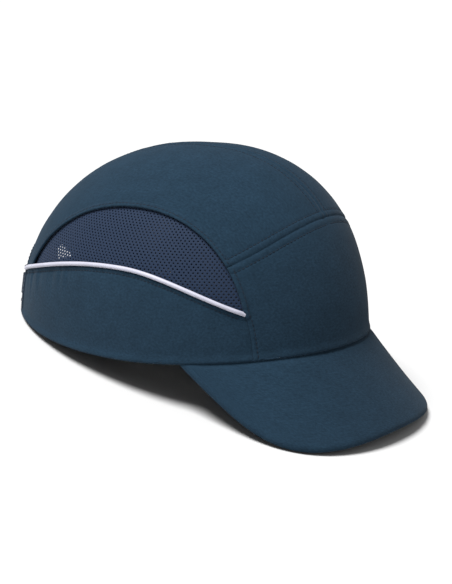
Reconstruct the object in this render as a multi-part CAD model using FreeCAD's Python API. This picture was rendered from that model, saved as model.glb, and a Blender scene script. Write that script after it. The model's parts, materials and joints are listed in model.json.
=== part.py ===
# Bump cap: a cap with a fabric cover in panels, mesh sides, a stiff peak, a hard inner shell
# with foam pads and a sweatband, and a webbing adjuster with a cam buckle across the rear arch.
#
# Everything is laid out in the head frame: +Z up through the crown, -Y to the front, +X to the
# wearer's left, z = 0 at the lowest level of the hem. The finished pieces are then tipped back
# by REST_PITCH, so that the cap stands on its peak and on its rear hem, and moved so that the
# origin is at the bottom centre of the whole cap.
import FreeCAD, Part
import math
import os

from FreeCAD import Vector

# ---------------------------------------------------------------- driving dimensions, mm and degrees
HALF_WIDTH = 90.0
FRONT_LENGTH = 102.0
REAR_LENGTH = 126.0
CROWN_HEIGHT = 117.0
FRONT_ROUNDNESS = 2.45
SIDE_ROUNDNESS = 2.23
REAR_ROUNDNESS = 2.13

RIM_MEAN = 4.9
RIM_TILT = -1.7
RIM_DIP = 4.3
RIM_SKEW = -1.0

FABRIC = 1.2
GAP = 0.3

MESH_FRONT_Y = -66.9
MESH_REAR_Y = 91.5
MESH_PLANE_X = -61.0
MESH_PLANE_SLOPE = 0.06
MESH_BOW = 4.0
JUNCTION_Y = -55.5
CROSS_SEAM_Z = 80.5
FRONT_SEAM_BEARING = 44.5

PIPING_TOP_Z = 53.9
PIPING_TOP_BEARING = 95.0
PIPING_RATE = 2.4
PIPING_WIDTH = 2.6
PIPING_HEIGHT = 1.9

ARCH_HALF_WIDTH = 46.0
ARCH_TOP_Z = 48.0
ARCH_SQUARENESS = 2.4
ARCH_JUNCTION = 36.0
BINDING_WIDTH = 2.2

SHELL_DEPTH = 2.0
SHELL_THICKNESS = 2.0
SHELL_EDGE_MEAN = 30.0
SHELL_EDGE_TILT = -17.0
SHELL_EDGE_DIP = 3.0
TOP_VENT_RADIUS = 9.0
SLOT_WIDTH = 9.0

PAD_DEPTH = 4.3
PAD_THICKNESS = 5.0
BAND_DEPTH = 4.6
TUNNEL_DEPTH = 8.0
BAND_THICKNESS = 2.5
BAND_HEIGHT = 30.0

PEAK_HALF_WIDTH = 85.4
PEAK_TIP_Y = -136.5
PEAK_END_BEARING = 67.0
PEAK_SLOPE = 1.314
PEAK_SAG = 0.0006
PEAK_ARCH_RADIUS = 61.4
PEAK_ARCH_OPENING = 0.0112
PEAK_SIDE_LIFT = 7.5
PEAK_SIDE_SQUARENESS = 2.07
PEAK_FRONT_SQUARENESS = 4.3
COVER = 0.9
BOARD = 2.0
BOARD_INSET = 2.5

STRAP_RADIUS = 70.5
STRAP_AXIS_Y = 48.0
STRAP_MID_Z = 23.0
STRAP_WIDTH = 18.0
STRAP_THICKNESS = 1.2
STRAP_TAPER = 0.13
STRAP_LEFT_END = 64.5
STRAP_RIGHT_END = -51.0
TIP_LENGTH = 5.0

BUCKLE_BEARING = -18.0
BUCKLE_HALF_LENGTH = 11.0
CHEEK_INNER = 9.7
CHEEK = 1.8
PIN_RADIUS = 1.0
PIN_CLEARANCE = 0.05
PIN_X = -4.5
PIN_Y = 3.1
BAR_X = -10.0
BAR_Y = 3.0
BAR_RADIUS = 1.3
LEVER_THICKNESS = 1.8
TAB_THICKNESS = 0.8
TAB_HALF_WIDTH = 6.5
TAB_GAP = 0.5

REST_PITCH = 13.15


# ---------------------------------------------------------------- the dome that every panel lies on
def sin(angle):
    return math.sin(math.radians(angle))


def cos(angle):
    return math.cos(math.radians(angle))


def roundness(point):
    """Exponent of the dome's section at this bearing."""
    length = FRONT_LENGTH if point.y < 0 else REAR_LENGTH
    end = FRONT_ROUNDNESS if point.y < 0 else REAR_ROUNDNESS
    wide = (point.x / HALF_WIDTH) ** 2
    deep = (point.y / length) ** 2
    share = deep / max(wide + deep, 1e-12)
    return SIDE_ROUNDNESS + (end - SIDE_ROUNDNESS) * share, math.sqrt(wide + deep)


def reach(point):
    """1 on the cap's outer skin, in proportion along a ray from the head frame's origin."""
    power, flat = roundness(point)
    return (flat ** power + (abs(point.z) / CROWN_HEIGHT) ** power) ** (1 / power)


def outward(point):
    """Unit normal of the skin at a point on it."""
    step = 0.05
    slope = []
    for axis in (Vector(step, 0, 0), Vector(0, step, 0), Vector(0, 0, step)):
        slope.append(reach(point + axis) - reach(point - axis))
    normal = Vector(*slope)
    return normal.normalize()


def skin(point, depth=0.0):
    """The point brought onto the skin along its ray, then moved in by depth."""
    on_skin = point * (1 / reach(point))
    return on_skin - outward(on_skin) * depth


def at(bearing, z, depth=0.0):
    """Skin point at a bearing from the front, positive towards the wearer's right, and a height."""
    length = FRONT_LENGTH if cos(bearing) > 0 else REAR_LENGTH
    ray = Vector(-HALF_WIDTH * sin(bearing), -length * cos(bearing), 0)
    power, _ = roundness(ray)
    flat = (1 - (abs(z) / CROWN_HEIGHT) ** power) ** (1 / power)
    point = Vector(ray.x * flat, ray.y * flat, z)
    return point - outward(point) * depth


def over(x, y):
    """Skin point above a place on the plan."""
    power, flat = roundness(Vector(x, y, 0))
    return Vector(x, y, CROWN_HEIGHT * max(1 - flat ** power, 0) ** (1 / power))


def facing(x, z, length):
    """Skin point at a distance from the middle and a height; length is negative at the front."""
    y = length
    for _ in range(12):
        power, _ = roundness(Vector(x, y, 0))
        flat = (1 - (z / CROWN_HEIGHT) ** power) ** (1 / power)
        y = length * math.sqrt(max(flat ** 2 - (x / HALF_WIDTH) ** 2, 0))
    return Vector(x, y, z)


def blend(low, high, share):
    return low + (high - low) * share


# ---------------------------------------------------------------- seam lines, wearer's right side
def rim_z(bearing):
    return RIM_MEAN + RIM_TILT * cos(bearing) + RIM_DIP * cos(2 * bearing) + RIM_SKEW * cos(3 * bearing)


def rim(bearing):
    return at(bearing, rim_z(bearing))


def mesh_arc(share):
    """Upper edge of the side mesh, from its front corner to its rear corner."""
    middle = (MESH_REAR_Y + MESH_FRONT_Y) / 2
    half = (MESH_REAR_Y - MESH_FRONT_Y) / 2
    y = middle - half * cos(180 * share)
    bow = MESH_BOW * (1 - ((y - middle) / half) ** 2)
    return over(MESH_PLANE_X + MESH_PLANE_SLOPE * y - bow, y)


def arc_share(y):
    """Place along mesh_arc of a distance to the rear."""
    middle = (MESH_REAR_Y + MESH_FRONT_Y) / 2
    half = (MESH_REAR_Y - MESH_FRONT_Y) / 2
    return math.degrees(math.acos((middle - y) / half)) / 180


def bearing_of(point):
    length = FRONT_LENGTH if point.y < 0 else REAR_LENGTH
    return math.degrees(math.atan2(-point.x / HALF_WIDTH, -point.y / length))


FRONT_CORNER = mesh_arc(0)
REAR_CORNER = mesh_arc(1)
JUNCTION = mesh_arc(arc_share(JUNCTION_Y))


def piping_line(share):
    """Lower edge of the side mesh, from its front corner to its rear corner."""
    bearing = blend(bearing_of(FRONT_CORNER), bearing_of(REAR_CORNER), share)
    turn = bearing - PIPING_TOP_BEARING
    corner = FRONT_CORNER if turn < 0 else REAR_CORNER
    corner_turn = bearing_of(corner) - PIPING_TOP_BEARING
    drop = (PIPING_TOP_Z - corner.z) / (1 - cos(PIPING_RATE * corner_turn))
    return at(bearing, PIPING_TOP_Z - drop * (1 - cos(PIPING_RATE * turn)))


def arch(angle):
    """Edge of the rear opening: 0 at its foot on the rim, 90 at its top in the middle."""
    foot = rim_z(150)
    x = -ARCH_HALF_WIDTH * abs(cos(angle)) ** (2 / ARCH_SQUARENESS)
    return facing(x, foot + (ARCH_TOP_Z - foot) * sin(angle) ** (2 / ARCH_SQUARENESS), REAR_LENGTH)


def front_side_seam(share):
    """Side edge of the front panel: up the vertical seam, then along the mesh to the cross seam."""
    turn = 0.5
    if share < turn:
        return skin(blend(rim(FRONT_SEAM_BEARING), FRONT_CORNER, share / turn))
    return mesh_arc(arc_share(JUNCTION_Y) * (share - turn) / (1 - turn))


def cross_seam(share):
    """Seam between front panel and crown, from the mesh to the middle of the cap."""
    x = JUNCTION.x * (1 - share)
    z = blend(CROSS_SEAM_Z, JUNCTION.z, (x / JUNCTION.x) ** 2)
    return facing(x, z, -FRONT_LENGTH)


def centre_seam(share):
    """Middle seam of the crown, from the cross seam over the top to the arch."""
    front = cross_seam(1)
    rear = arch(90)
    start = math.degrees(math.atan2(front.z, front.y))
    end = math.degrees(math.atan2(rear.z, rear.y))
    angle = blend(start, end, share)
    return skin(Vector(0, 100 * cos(angle), 100 * sin(angle)))


def rear_seam(share):
    """Seam that carries the piping's line on from the mesh to the arch."""
    return skin(blend(REAR_CORNER, arch(ARCH_JUNCTION), share))


# ---------------------------------------------------------------- building solids
def mirrored(shape):
    return shape.mirror(Vector(0, 0, 0), Vector(1, 0, 0))


def spread(count, low=0.0, high=1.0):
    return [blend(low, high, i / (count - 1)) for i in range(count)]


def closed_solid(faces):
    shell = Part.makeShell(faces)
    shell.sewShape()
    solid = Part.makeSolid(Part.makeShell(shell.Faces))
    if solid.Volume < 0:
        solid.reverse()
    return solid


def solid_between(outer, inner):
    """Closed solid between two grids of points that match row by row."""
    skins = []
    for grid in (outer, inner):
        surface = Part.BSplineSurface()
        surface.interpolate(grid)
        skins.append(surface)
    faces = [surface.toShape() for surface in skins]
    u0, u1, v0, v1 = skins[0].bounds()
    w0, w1, x0, x1 = skins[1].bounds()
    for outer_u, inner_u in ((u0, w0), (u1, w1)):
        pair = (skins[0].uIso(outer_u).toShape(), skins[1].uIso(inner_u).toShape())
        faces.append(Part.makeRuledSurface(*pair))
    for outer_v, inner_v in ((v0, x0), (v1, x1)):
        pair = (skins[0].vIso(outer_v).toShape(), skins[1].vIso(inner_v).toShape())
        faces.append(Part.makeRuledSurface(*pair))
    return closed_solid(faces)


def patch(bottom, top, front, rear, columns, rows):
    """Grid of points filled in between four edge curves."""
    grid = []
    for u in spread(columns):
        line = []
        for v in spread(rows):
            along = blend(bottom(u), top(u), v)
            across = blend(front(v), rear(v), u)
            corners = blend(blend(bottom(0), bottom(1), u), blend(top(0), top(1), u), v)
            line.append(along + across - corners)
        grid.append(line)
    return grid


def layer(grid, outer_depth, inner_depth):
    """Solid panel of even thickness under a grid, between two depths below the skin."""
    outer = [[skin(point, outer_depth) for point in line] for line in grid]
    inner = [[skin(point, inner_depth) for point in line] for line in grid]
    return solid_between(outer, inner)


def beside(line, share, offset):
    """Point at a distance to the side of a seam line, on the skin."""
    step = 0.004
    low = max(share - step, 0)
    high = min(share + step, 1)
    tangent = (line(high) - line(low)).normalize()
    side = tangent.cross(outward(line(share)))
    return skin(line(share) + side * offset)


def strip(line, offsets, outer_depths, inner_depth, count, shares=(0.0, 1.0)):
    """Solid ribbon along a seam line, with its own depth at each offset to the side."""
    outer = []
    inner = []
    for share in spread(count, *shares):
        points = [beside(line, share, offset) for offset in offsets]
        outer.append([skin(point, depth) for point, depth in zip(points, outer_depths)])
        inner.append([skin(point, inner_depth) for point in points])
    return solid_between(outer, inner)


def both_sides(name, right_shape):
    return {name + "_right": right_shape, name + "_left": mirrored(right_shape)}


# ---------------------------------------------------------------- fabric cover
def front_panel():
    def bottom(share):
        return rim(blend(FRONT_SEAM_BEARING, -FRONT_SEAM_BEARING, share))

    def top(share):
        if share <= 0.5:
            return cross_seam(share * 2)
        other = cross_seam((1 - share) * 2)
        return Vector(-other.x, other.y, other.z)

    def left(share):
        other = front_side_seam(share)
        return Vector(-other.x, other.y, other.z)

    return layer(patch(bottom, top, front_side_seam, left, 33, 15), 0, FABRIC)


def crown_half():
    corner = 0.86

    def bottom(share):
        if share < corner:
            return mesh_arc(blend(arc_share(JUNCTION_Y), 1, share / corner))
        return rear_seam((share - corner) / (1 - corner))

    def rear(share):
        return arch(blend(ARCH_JUNCTION, 90, share))

    return layer(patch(bottom, centre_seam, cross_seam, rear, 45, 17), 0, FABRIC)


def side_mesh():
    trim = 0.03

    def bottom(share):
        return piping_line(blend(trim, 1 - trim, share))

    def top(share):
        return mesh_arc(blend(trim, 1 - trim, share))

    def front(share):
        return blend(bottom(0), top(0), share)

    def rear(share):
        return blend(bottom(1), top(1), share)

    return layer(patch(bottom, top, front, rear, 37, 11), 0.2, FABRIC)


def side_panel():
    corner = 0.88

    def bottom(share):
        return rim(blend(FRONT_SEAM_BEARING, bearing_of(arch(0)), share))

    def top(share):
        if share < corner:
            return piping_line(share / corner)
        return rear_seam((share - corner) / (1 - corner))

    def front(share):
        return skin(blend(rim(FRONT_SEAM_BEARING), FRONT_CORNER, share))

    def rear(share):
        return arch(ARCH_JUNCTION * share)

    return layer(patch(bottom, top, front, rear, 41, 9), 0, FABRIC)


def piping():
    """Piping along the lower edge of the mesh and on over the rear seam to the arch."""
    corner = 0.88

    def line(share):
        if share < corner:
            return piping_line(share / corner)
        return rear_seam((share - corner) / (1 - corner))

    angles = spread(7, -90, 90)
    offsets = [PIPING_WIDTH / 2 * sin(angle) for angle in angles]
    depths = [-GAP - PIPING_HEIGHT * cos(angle) for angle in angles]
    return strip(line, offsets, depths, -0.1, 45, (0, 0.99))


def arch_binding():
    """Folded tape round the edge of the rear opening, from one foot over the top to the other."""
    def edge(share):
        angle = 180 * share
        if angle <= 90:
            return arch(angle)
        other = arch(180 - angle)
        return Vector(-other.x, other.y, other.z)

    middle = GAP + BINDING_WIDTH / 2
    angles = spread(5, -90, 90)
    offsets = [-middle - BINDING_WIDTH / 2 * sin(angle) for angle in angles]
    depths = [-0.1 - 0.7 * cos(angle) for angle in angles]
    return strip(edge, offsets, depths, FABRIC + 0.1, 45)


def seam_tape(line, count, shares):
    return strip(line, (-8, 0, 8), (FABRIC + 0.1,) * 3, SHELL_DEPTH - 0.2, count, shares)


def centre_seam_tape():
    return seam_tape(centre_seam, 31, (0.09, 0.97))


def cross_seam_tape():
    def line(share):
        if share <= 0.5:
            return cross_seam(share * 2)
        other = cross_seam((1 - share) * 2)
        return Vector(-other.x, other.y, other.z)

    return seam_tape(line, 31, (0.03, 0.97))


# ---------------------------------------------------------------- peak
def peak_height(x, y):
    """Height of the peak's top: it falls to the front and arches across, flatter at the tip."""
    ahead = -y - FRONT_LENGTH
    fall = PEAK_SLOPE * ahead + PEAK_SAG * ahead * abs(ahead)
    arching = x * x / (2 * PEAK_ARCH_RADIUS) * (1 - PEAK_ARCH_OPENING * ahead)
    return rim_z(0) - GAP - fall - arching + PEAK_SIDE_LIFT * (x / 80) ** 4


def peak_point(across, ahead, depth, inset):
    """Point of the peak: across runs from -1 to 1, ahead from 0 at the cap to 1 at the edge."""
    root = at(PEAK_END_BEARING * across, 0, -GAP)
    side = abs(sin(90 * across)) ** (2 / PEAK_SIDE_SQUARENESS)
    nose = abs(cos(90 * across)) ** (2 / PEAK_FRONT_SQUARENESS)
    end_y = -FRONT_LENGTH * cos(PEAK_END_BEARING)
    edge_x = -math.copysign(1, across) * (PEAK_HALF_WIDTH - inset) * side
    edge_y = end_y + (PEAK_TIP_Y + inset - end_y) * nose
    x = blend(root.x, edge_x, ahead)
    y = blend(root.y, edge_y, ahead)
    step = 0.1
    slope_x = (peak_height(x + step, y) - peak_height(x - step, y)) / (2 * step)
    slope_y = (peak_height(x, y + step) - peak_height(x, y - step)) / (2 * step)
    normal = Vector(-slope_x, -slope_y, 1).normalize()
    return Vector(x, y, peak_height(x, y)) - normal * depth


def peak_layer(top_depth, thickness, inset=0.0, start=0.0):
    """One layer of the peak. inset takes it back from the edge, start away from the cap."""
    ends = 1 - inset / 25
    grids = []
    for depth in (top_depth, top_depth + thickness):
        grid = []
        for across in spread(41, -ends, ends):
            grid.append([peak_point(across, ahead, depth, inset) for ahead in spread(9, start, 1)])
        grids.append(grid)
    return solid_between(*grids)


def peak_top_cover():
    return peak_layer(0, COVER)


def peak_board():
    return peak_layer(COVER + 0.1, BOARD, BOARD_INSET, 0.05)


def peak_under_cover():
    return peak_layer(COVER + BOARD + 0.2, COVER)


# ---------------------------------------------------------------- hard shell, pads and sweatband
def shell_edge_z(bearing):
    return SHELL_EDGE_MEAN + SHELL_EDGE_TILT * cos(bearing) + SHELL_EDGE_DIP * cos(2 * bearing)


def shell_point(bearing, climb, depth):
    """Point of the shell: climb runs from 0 at its lower edge to 1 at the rim of the top vent."""
    length = FRONT_LENGTH if cos(bearing) > 0 else REAR_LENGTH
    ray = Vector(-HALF_WIDTH * sin(bearing), -length * cos(bearing), 0)
    power, _ = roundness(ray)
    low = math.asin((shell_edge_z(bearing) / CROWN_HEIGHT) ** (power / 2))
    high = math.acos((TOP_VENT_RADIUS / ray.Length) ** (power / 2))
    angle = blend(low, high, climb)
    flat = math.cos(angle) ** (2 / power)
    point = Vector(ray.x * flat, ray.y * flat, CROWN_HEIGHT * math.sin(angle) ** (2 / power))
    return skin(point, depth)


def shell_half_faces():
    """Outer skin, inner skin, lower edge and vent edge of the wearer's right half."""
    skins = []
    for depth in (SHELL_DEPTH, SHELL_DEPTH + SHELL_THICKNESS):
        grid = []
        for bearing in spread(37, 0, 180):
            grid.append([shell_point(bearing, climb, depth) for climb in spread(17)])
        surface = Part.BSplineSurface()
        surface.interpolate(grid)
        skins.append(surface)
    faces = [surface.toShape() for surface in skins]
    for end in (2, 3):
        pair = [surface.vIso(surface.bounds()[end]).toShape() for surface in skins]
        faces.append(Part.makeRuledSurface(*pair))
    return faces


def slot_tool(bearing, z, length, tilt):
    """Cutter for one vent slot, across the shell at a bearing and a height."""
    middle = at(bearing, z)
    normal = outward(middle)
    level = Vector(0, 0, 1).cross(normal).normalize()
    along = level * cos(tilt) + normal.cross(level) * sin(tilt)
    reach_out = length / 2 - SLOT_WIDTH / 2
    box = Part.makeBox(2 * reach_out, SLOT_WIDTH, 16, Vector(-reach_out, -SLOT_WIDTH / 2, -12))
    tool = box
    for x in (-reach_out, reach_out):
        tool = tool.fuse(Part.makeCylinder(SLOT_WIDTH / 2, 16, Vector(x, 0, -12)))
    turn = FreeCAD.Rotation(along, normal.cross(along), normal, "ZXY")
    tool.Placement = FreeCAD.Placement(middle, turn)
    return tool


def hard_shell():
    faces = shell_half_faces()
    faces += [mirrored(face) for face in faces]
    shell = closed_solid(faces)
    slots = ((71, 56, 30, 20), (97, 63, 30, 0), (121, 54, 26, -16), (78, 88, 24, 0), (112, 88, 24, 0))
    for slot in slots:
        tool = slot_tool(*slot)
        shell = shell.cut(tool).cut(mirrored(tool))
    return shell


def pad(point_at, columns, rows):
    """Foam pad under the shell, over the points that point_at(across, up) gives."""
    grid = [[point_at(u, v) for v in spread(rows)] for u in spread(columns)]
    return layer(grid, PAD_DEPTH, PAD_DEPTH + PAD_THICKNESS)


def foam_crown():
    whole = pad(lambda u, v: over(blend(-30, 30, u), blend(-48, 62, v)), 13, 21)
    vent = Part.makeCylinder(TOP_VENT_RADIUS + 4, 40, Vector(0, 0, CROWN_HEIGHT - 30))
    return whole.cut(vent)


def foam_front():
    return pad(lambda u, v: at(blend(34, -34, u), blend(41, 74, v)), 21, 9)


def foam_side():
    return pad(lambda u, v: at(blend(50, 118, u), blend(30, 41, v)), 21, 5)


def foam_rear():
    return pad(lambda u, v: at(blend(152, 208, u), blend(56, 84, v)), 17, 9)


def band_depth(bearing):
    """Depth of the sweatband's outer face: it leaves room for the strap near the arch."""
    share = min(max((abs(bearing) - 100) / 24, 0), 1)
    smooth = share * share * (3 - 2 * share)
    return blend(BAND_DEPTH, TUNNEL_DEPTH, smooth)


def sweatband():
    reach_back = bearing_of(arch(0)) - 1
    grids = []
    for extra in (0, BAND_THICKNESS):
        grid = []
        for bearing in spread(65, -reach_back, reach_back):
            depth = band_depth(bearing) + extra
            low = rim_z(bearing) + 1
            high = min(rim_z(bearing) + BAND_HEIGHT, 29)
            grid.append([at(bearing, z, depth) for z in spread(5, low, high)])
        grids.append(grid)
    return solid_between(*grids)


def inner_label():
    """Blank care label, sewn under the sweatband's upper edge and hanging against the band."""
    depth = TUNNEL_DEPTH + BAND_THICKNESS + 0.2
    grid = [[at(bearing, z) for z in spread(5, 12, 30)] for bearing in spread(7, -140, -126)]
    return layer(grid, depth, depth + 0.4)


# ---------------------------------------------------------------- adjuster across the rear arch
def strap_radius(z):
    return STRAP_RADIUS - STRAP_TAPER * (z - STRAP_MID_Z)


def band_of_cone(start, end, inner, outer, half_width):
    """Curved band round the strap's axis between two angles, in towards the head at its top."""
    low = STRAP_MID_Z - half_width
    high = STRAP_MID_Z + half_width
    corners = []
    for z, offset in ((low, inner), (low, outer), (high, outer), (high, inner)):
        corners.append(Vector(0, strap_radius(z) + offset, z))
    outline = Part.makePolygon(corners + corners[:1])
    outline.rotate(Vector(0, 0, 0), Vector(0, 0, 1), -start)
    band = Part.Face(outline).revolve(Vector(0, 0, 0), Vector(0, 0, 1), start - end)
    band.translate(Vector(0, STRAP_AXIS_Y, 0))
    return band


def adjuster_strap():
    half = STRAP_THICKNESS / 2
    return band_of_cone(STRAP_LEFT_END, STRAP_RIGHT_END, -half, half, STRAP_WIDTH / 2)


def strap_end_tip():
    """Stiff end of the webbing, just past the tail's end."""
    half = STRAP_THICKNESS / 2 + 0.1
    sweep = math.degrees(TIP_LENGTH / STRAP_RADIUS)
    return band_of_cone(STRAP_RIGHT_END, STRAP_RIGHT_END - sweep, -half, half, STRAP_WIDTH / 2)


def buckle_placement():
    """Buckle frame: x along the strap to the wearer's left, y outward, z up the webbing's width."""
    out = Vector(sin(BUCKLE_BEARING), cos(BUCKLE_BEARING), 0)
    tilt = math.atan(STRAP_TAPER)
    up = Vector(0, 0, math.cos(tilt)) - out * math.sin(tilt)
    facing = out * math.cos(tilt) + Vector(0, 0, math.sin(tilt))
    along = facing.cross(up)
    middle = Vector(0, STRAP_AXIS_Y, STRAP_MID_Z) + out * STRAP_RADIUS
    return FreeCAD.Placement(middle, FreeCAD.Rotation(along, facing, up, "ZXY"))


def in_buckle(shape):
    shape.Placement = buckle_placement().multiply(shape.Placement)
    return shape


def block(low, high):
    size = Vector(*high) - Vector(*low)
    return Part.makeBox(size.x, size.y, size.z, Vector(*low))


def rod(radius, half_length, x, y):
    return Part.makeCylinder(radius, 2 * half_length, Vector(x, y, -half_length))


def buckle_frame():
    far = CHEEK_INNER + CHEEK
    end = BUCKLE_HALF_LENGTH
    frame = block((-end, -3.2, -far), (end, -2.2, far))
    for low in (-far, CHEEK_INNER):
        frame = frame.fuse(block((-end - 1.2, -2.7, low), (end, 4.4, low + CHEEK)))
    frame = frame.fuse(block((end - 2.4, 1.0, -far + 0.5), (end, 2.8, far - 0.5)))
    frame = frame.fuse(rod(BAR_RADIUS, far - 0.5, BAR_X, BAR_Y))
    frame = frame.cut(rod(PIN_RADIUS, far + 1, PIN_X, PIN_Y))
    return in_buckle(frame.removeSplitter())


def buckle_lever():
    half = CHEEK_INNER - 0.4
    hub = rod(2.2, half, PIN_X, PIN_Y)
    plate = block((PIN_X, PIN_Y + 0.2, -half), (12.0, PIN_Y + 0.2 + LEVER_THICKNESS, half))
    lip = rod(1.1, half, 12.0, PIN_Y + 1.3)
    lever = hub.fuse(plate).fuse(lip)
    lever = lever.cut(rod(PIN_RADIUS + PIN_CLEARANCE, half + 1, PIN_X, PIN_Y))
    return in_buckle(lever.removeSplitter())


def buckle_pin():
    return in_buckle(rod(PIN_RADIUS, CHEEK_INNER + CHEEK, PIN_X, PIN_Y))


def buckle_tab():
    """Webbing loop that holds the buckle: round its bar, then inside the wearer's right panel."""
    place = buckle_placement()
    loop_radius = BAR_RADIUS + 0.3 + TAB_THICKNESS / 2
    bar = place.multVec(Vector(BAR_X, BAR_Y, 0))
    right = place.Rotation.multVec(Vector(-1, 0, 0))
    out = place.Rotation.multVec(Vector(0, 1, 0))
    up = place.Rotation.multVec(Vector(0, 0, 1))
    centre_line = []
    for angle in spread(11, 20, 290):
        centre_line.append(bar + right * loop_radius * cos(angle) + out * loop_radius * sin(angle))
    sewn = []
    for x in (-44, -48, -51):
        inside = facing(x, STRAP_MID_Z, REAR_LENGTH)
        sewn.append(inside - outward(inside) * (FABRIC + TAB_GAP + TAB_THICKNESS / 2))
    for share in (0.33, 0.67):
        centre_line.append(blend(centre_line[10], sewn[0], share))
    centre_line += sewn
    flat = [point - up * (point - bar).dot(up) for point in centre_line]
    rails = []
    for side in (-0.5, 0.5):
        rail = []
        for i, point in enumerate(flat):
            tangent = flat[min(i + 1, len(flat) - 1)] - flat[max(i - 1, 0)]
            rail.append(point + tangent.normalize().cross(up) * TAB_THICKNESS * side)
        rails.append(rail)
    edges = [Part.makeLine(rails[0][end], rails[1][end]) for end in (0, -1)]
    for rail in rails:
        curve = Part.BSplineCurve()
        curve.interpolate(rail)
        edges.append(curve.toShape())
    section = Part.Face(Part.Wire(Part.__sortEdges__(edges)))
    section.translate(up * -TAB_HALF_WIDTH)
    return section.extrude(up * 2 * TAB_HALF_WIDTH)


# ---------------------------------------------------------------- assembly
def build_pieces():
    pieces = {"front_panel": front_panel()}
    pieces.update(both_sides("crown_half", crown_half()))
    pieces.update(both_sides("side_mesh", side_mesh()))
    pieces.update(both_sides("side_panel", side_panel()))
    pieces.update(both_sides("piping", piping()))
    pieces["arch_binding"] = arch_binding()
    pieces["centre_seam_tape"] = centre_seam_tape()
    pieces["cross_seam_tape"] = cross_seam_tape()
    pieces["peak_top_cover"] = peak_top_cover()
    pieces["peak_board"] = peak_board()
    pieces["peak_under_cover"] = peak_under_cover()
    pieces["hard_shell"] = hard_shell()
    pieces["foam_crown"] = foam_crown()
    pieces["foam_front"] = foam_front()
    pieces.update(both_sides("foam_side", foam_side()))
    pieces["foam_rear"] = foam_rear()
    pieces["sweatband"] = sweatband()
    pieces["inner_label"] = inner_label()
    pieces["adjuster_strap"] = adjuster_strap()
    pieces["strap_end_tip"] = strap_end_tip()
    pieces["buckle_frame"] = buckle_frame()
    pieces["buckle_lever"] = buckle_lever()
    pieces["buckle_pin"] = buckle_pin()
    pieces["buckle_tab"] = buckle_tab()
    return pieces


def stand_on_table(pieces):
    """Tip the cap back and put the origin at its bottom centre. Returns the move that was made."""
    tip = FreeCAD.Placement(Vector(0, 0, 0), FreeCAD.Rotation(Vector(1, 0, 0), -REST_PITCH))
    low = Vector(1e9, 1e9, 1e9)
    high = Vector(-1e9, -1e9, -1e9)
    for shape in pieces.values():
        shape.Placement = tip.multiply(shape.Placement)
        points, _ = shape.tessellate(0.05)
        for point in points:
            low = Vector(min(low.x, point.x), min(low.y, point.y), min(low.z, point.z))
            high = Vector(max(high.x, point.x), max(high.y, point.y), max(high.z, point.z))
    move = Vector(-(low.x + high.x) / 2, -(low.y + high.y) / 2, -low.z)
    for shape in pieces.values():
        shape.translate(move)
    print("size", high - low, "head frame origin", move)
    return FreeCAD.Placement(move, tip.Rotation)


def main():
    os.makedirs("parts", exist_ok=True)
    pieces = build_pieces()
    seat = stand_on_table(pieces)
    print("strap axis point", seat.multVec(Vector(0, STRAP_AXIS_Y, 0)))
    print("strap axis", seat.Rotation.multVec(Vector(0, 0, 1)))
    buckle = seat.multiply(buckle_placement())
    print("pin axis point", buckle.multVec(Vector(PIN_X, PIN_Y, 0)))
    print("pin axis", buckle.Rotation.multVec(Vector(0, 0, 1)))
    for name, shape in pieces.items():
        if not shape.isValid() or shape.Volume <= 0:
            print("bad solid", name, shape.Volume)
        shape.exportStep("parts/" + name + ".step")


main()
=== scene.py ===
import json
import math

import bpy
import numpy as np
from mathutils import Matrix, Vector, noise
from mathutils.bvhtree import BVHTree
from mathutils.kdtree import KDTree


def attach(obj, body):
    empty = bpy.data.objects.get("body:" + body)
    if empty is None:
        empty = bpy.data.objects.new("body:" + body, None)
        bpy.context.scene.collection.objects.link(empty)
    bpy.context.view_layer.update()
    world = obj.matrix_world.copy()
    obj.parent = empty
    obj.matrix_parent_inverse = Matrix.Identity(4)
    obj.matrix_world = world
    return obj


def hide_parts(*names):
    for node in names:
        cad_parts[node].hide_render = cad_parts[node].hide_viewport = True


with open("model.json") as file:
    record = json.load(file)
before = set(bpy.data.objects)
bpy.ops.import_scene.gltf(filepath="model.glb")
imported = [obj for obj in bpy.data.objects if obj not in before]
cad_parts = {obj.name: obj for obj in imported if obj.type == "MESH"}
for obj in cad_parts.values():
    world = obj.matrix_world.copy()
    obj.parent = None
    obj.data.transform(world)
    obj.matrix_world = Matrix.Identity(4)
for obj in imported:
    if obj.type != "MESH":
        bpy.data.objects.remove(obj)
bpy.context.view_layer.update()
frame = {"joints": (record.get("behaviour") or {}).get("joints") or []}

# A bump cap. Shapes are worked out in millimetres in the head frame: +Z up through the crown,
# -Y to the front, +X to the wearer's left, z = 0 at the lowest level of the hem. place() turns
# them into metres in the row frame, where the cap stands tipped back on its peak and its hem.
MM = 0.001

# ---------- driving dimensions, mm and degrees
HALF_WIDTH = 90.0
FRONT_LENGTH = 102.0
REAR_LENGTH = 126.0
CROWN_HEIGHT = 117.0
FRONT_ROUNDNESS = 2.45
SIDE_ROUNDNESS = 2.23
REAR_ROUNDNESS = 2.13

RIM_MEAN = 4.9
RIM_TILT = -1.7
RIM_DIP = 4.3
RIM_SKEW = -1.0

MESH_FRONT_Y = -67.3
MESH_REAR_Y = 91.5
MESH_PLANE_X = -61.0
MESH_PLANE_SLOPE = 0.06
MESH_BOW = 4.0
JUNCTION_Y = -55.5
CROSS_SEAM_Z = 80.5
FRONT_SEAM_BEARING = 44.5

PIPING_TOP_Z = 53.9
PIPING_TOP_BEARING = 95.0
PIPING_RATE = 2.4
PIPING_CORNER = 0.88
PIPING_RADIUS = 1.28

ARCH_HALF_WIDTH = 46.0
ARCH_TOP_Z = 48.0
ARCH_SQUARENESS = 2.4
ARCH_JUNCTION = 36.0

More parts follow.
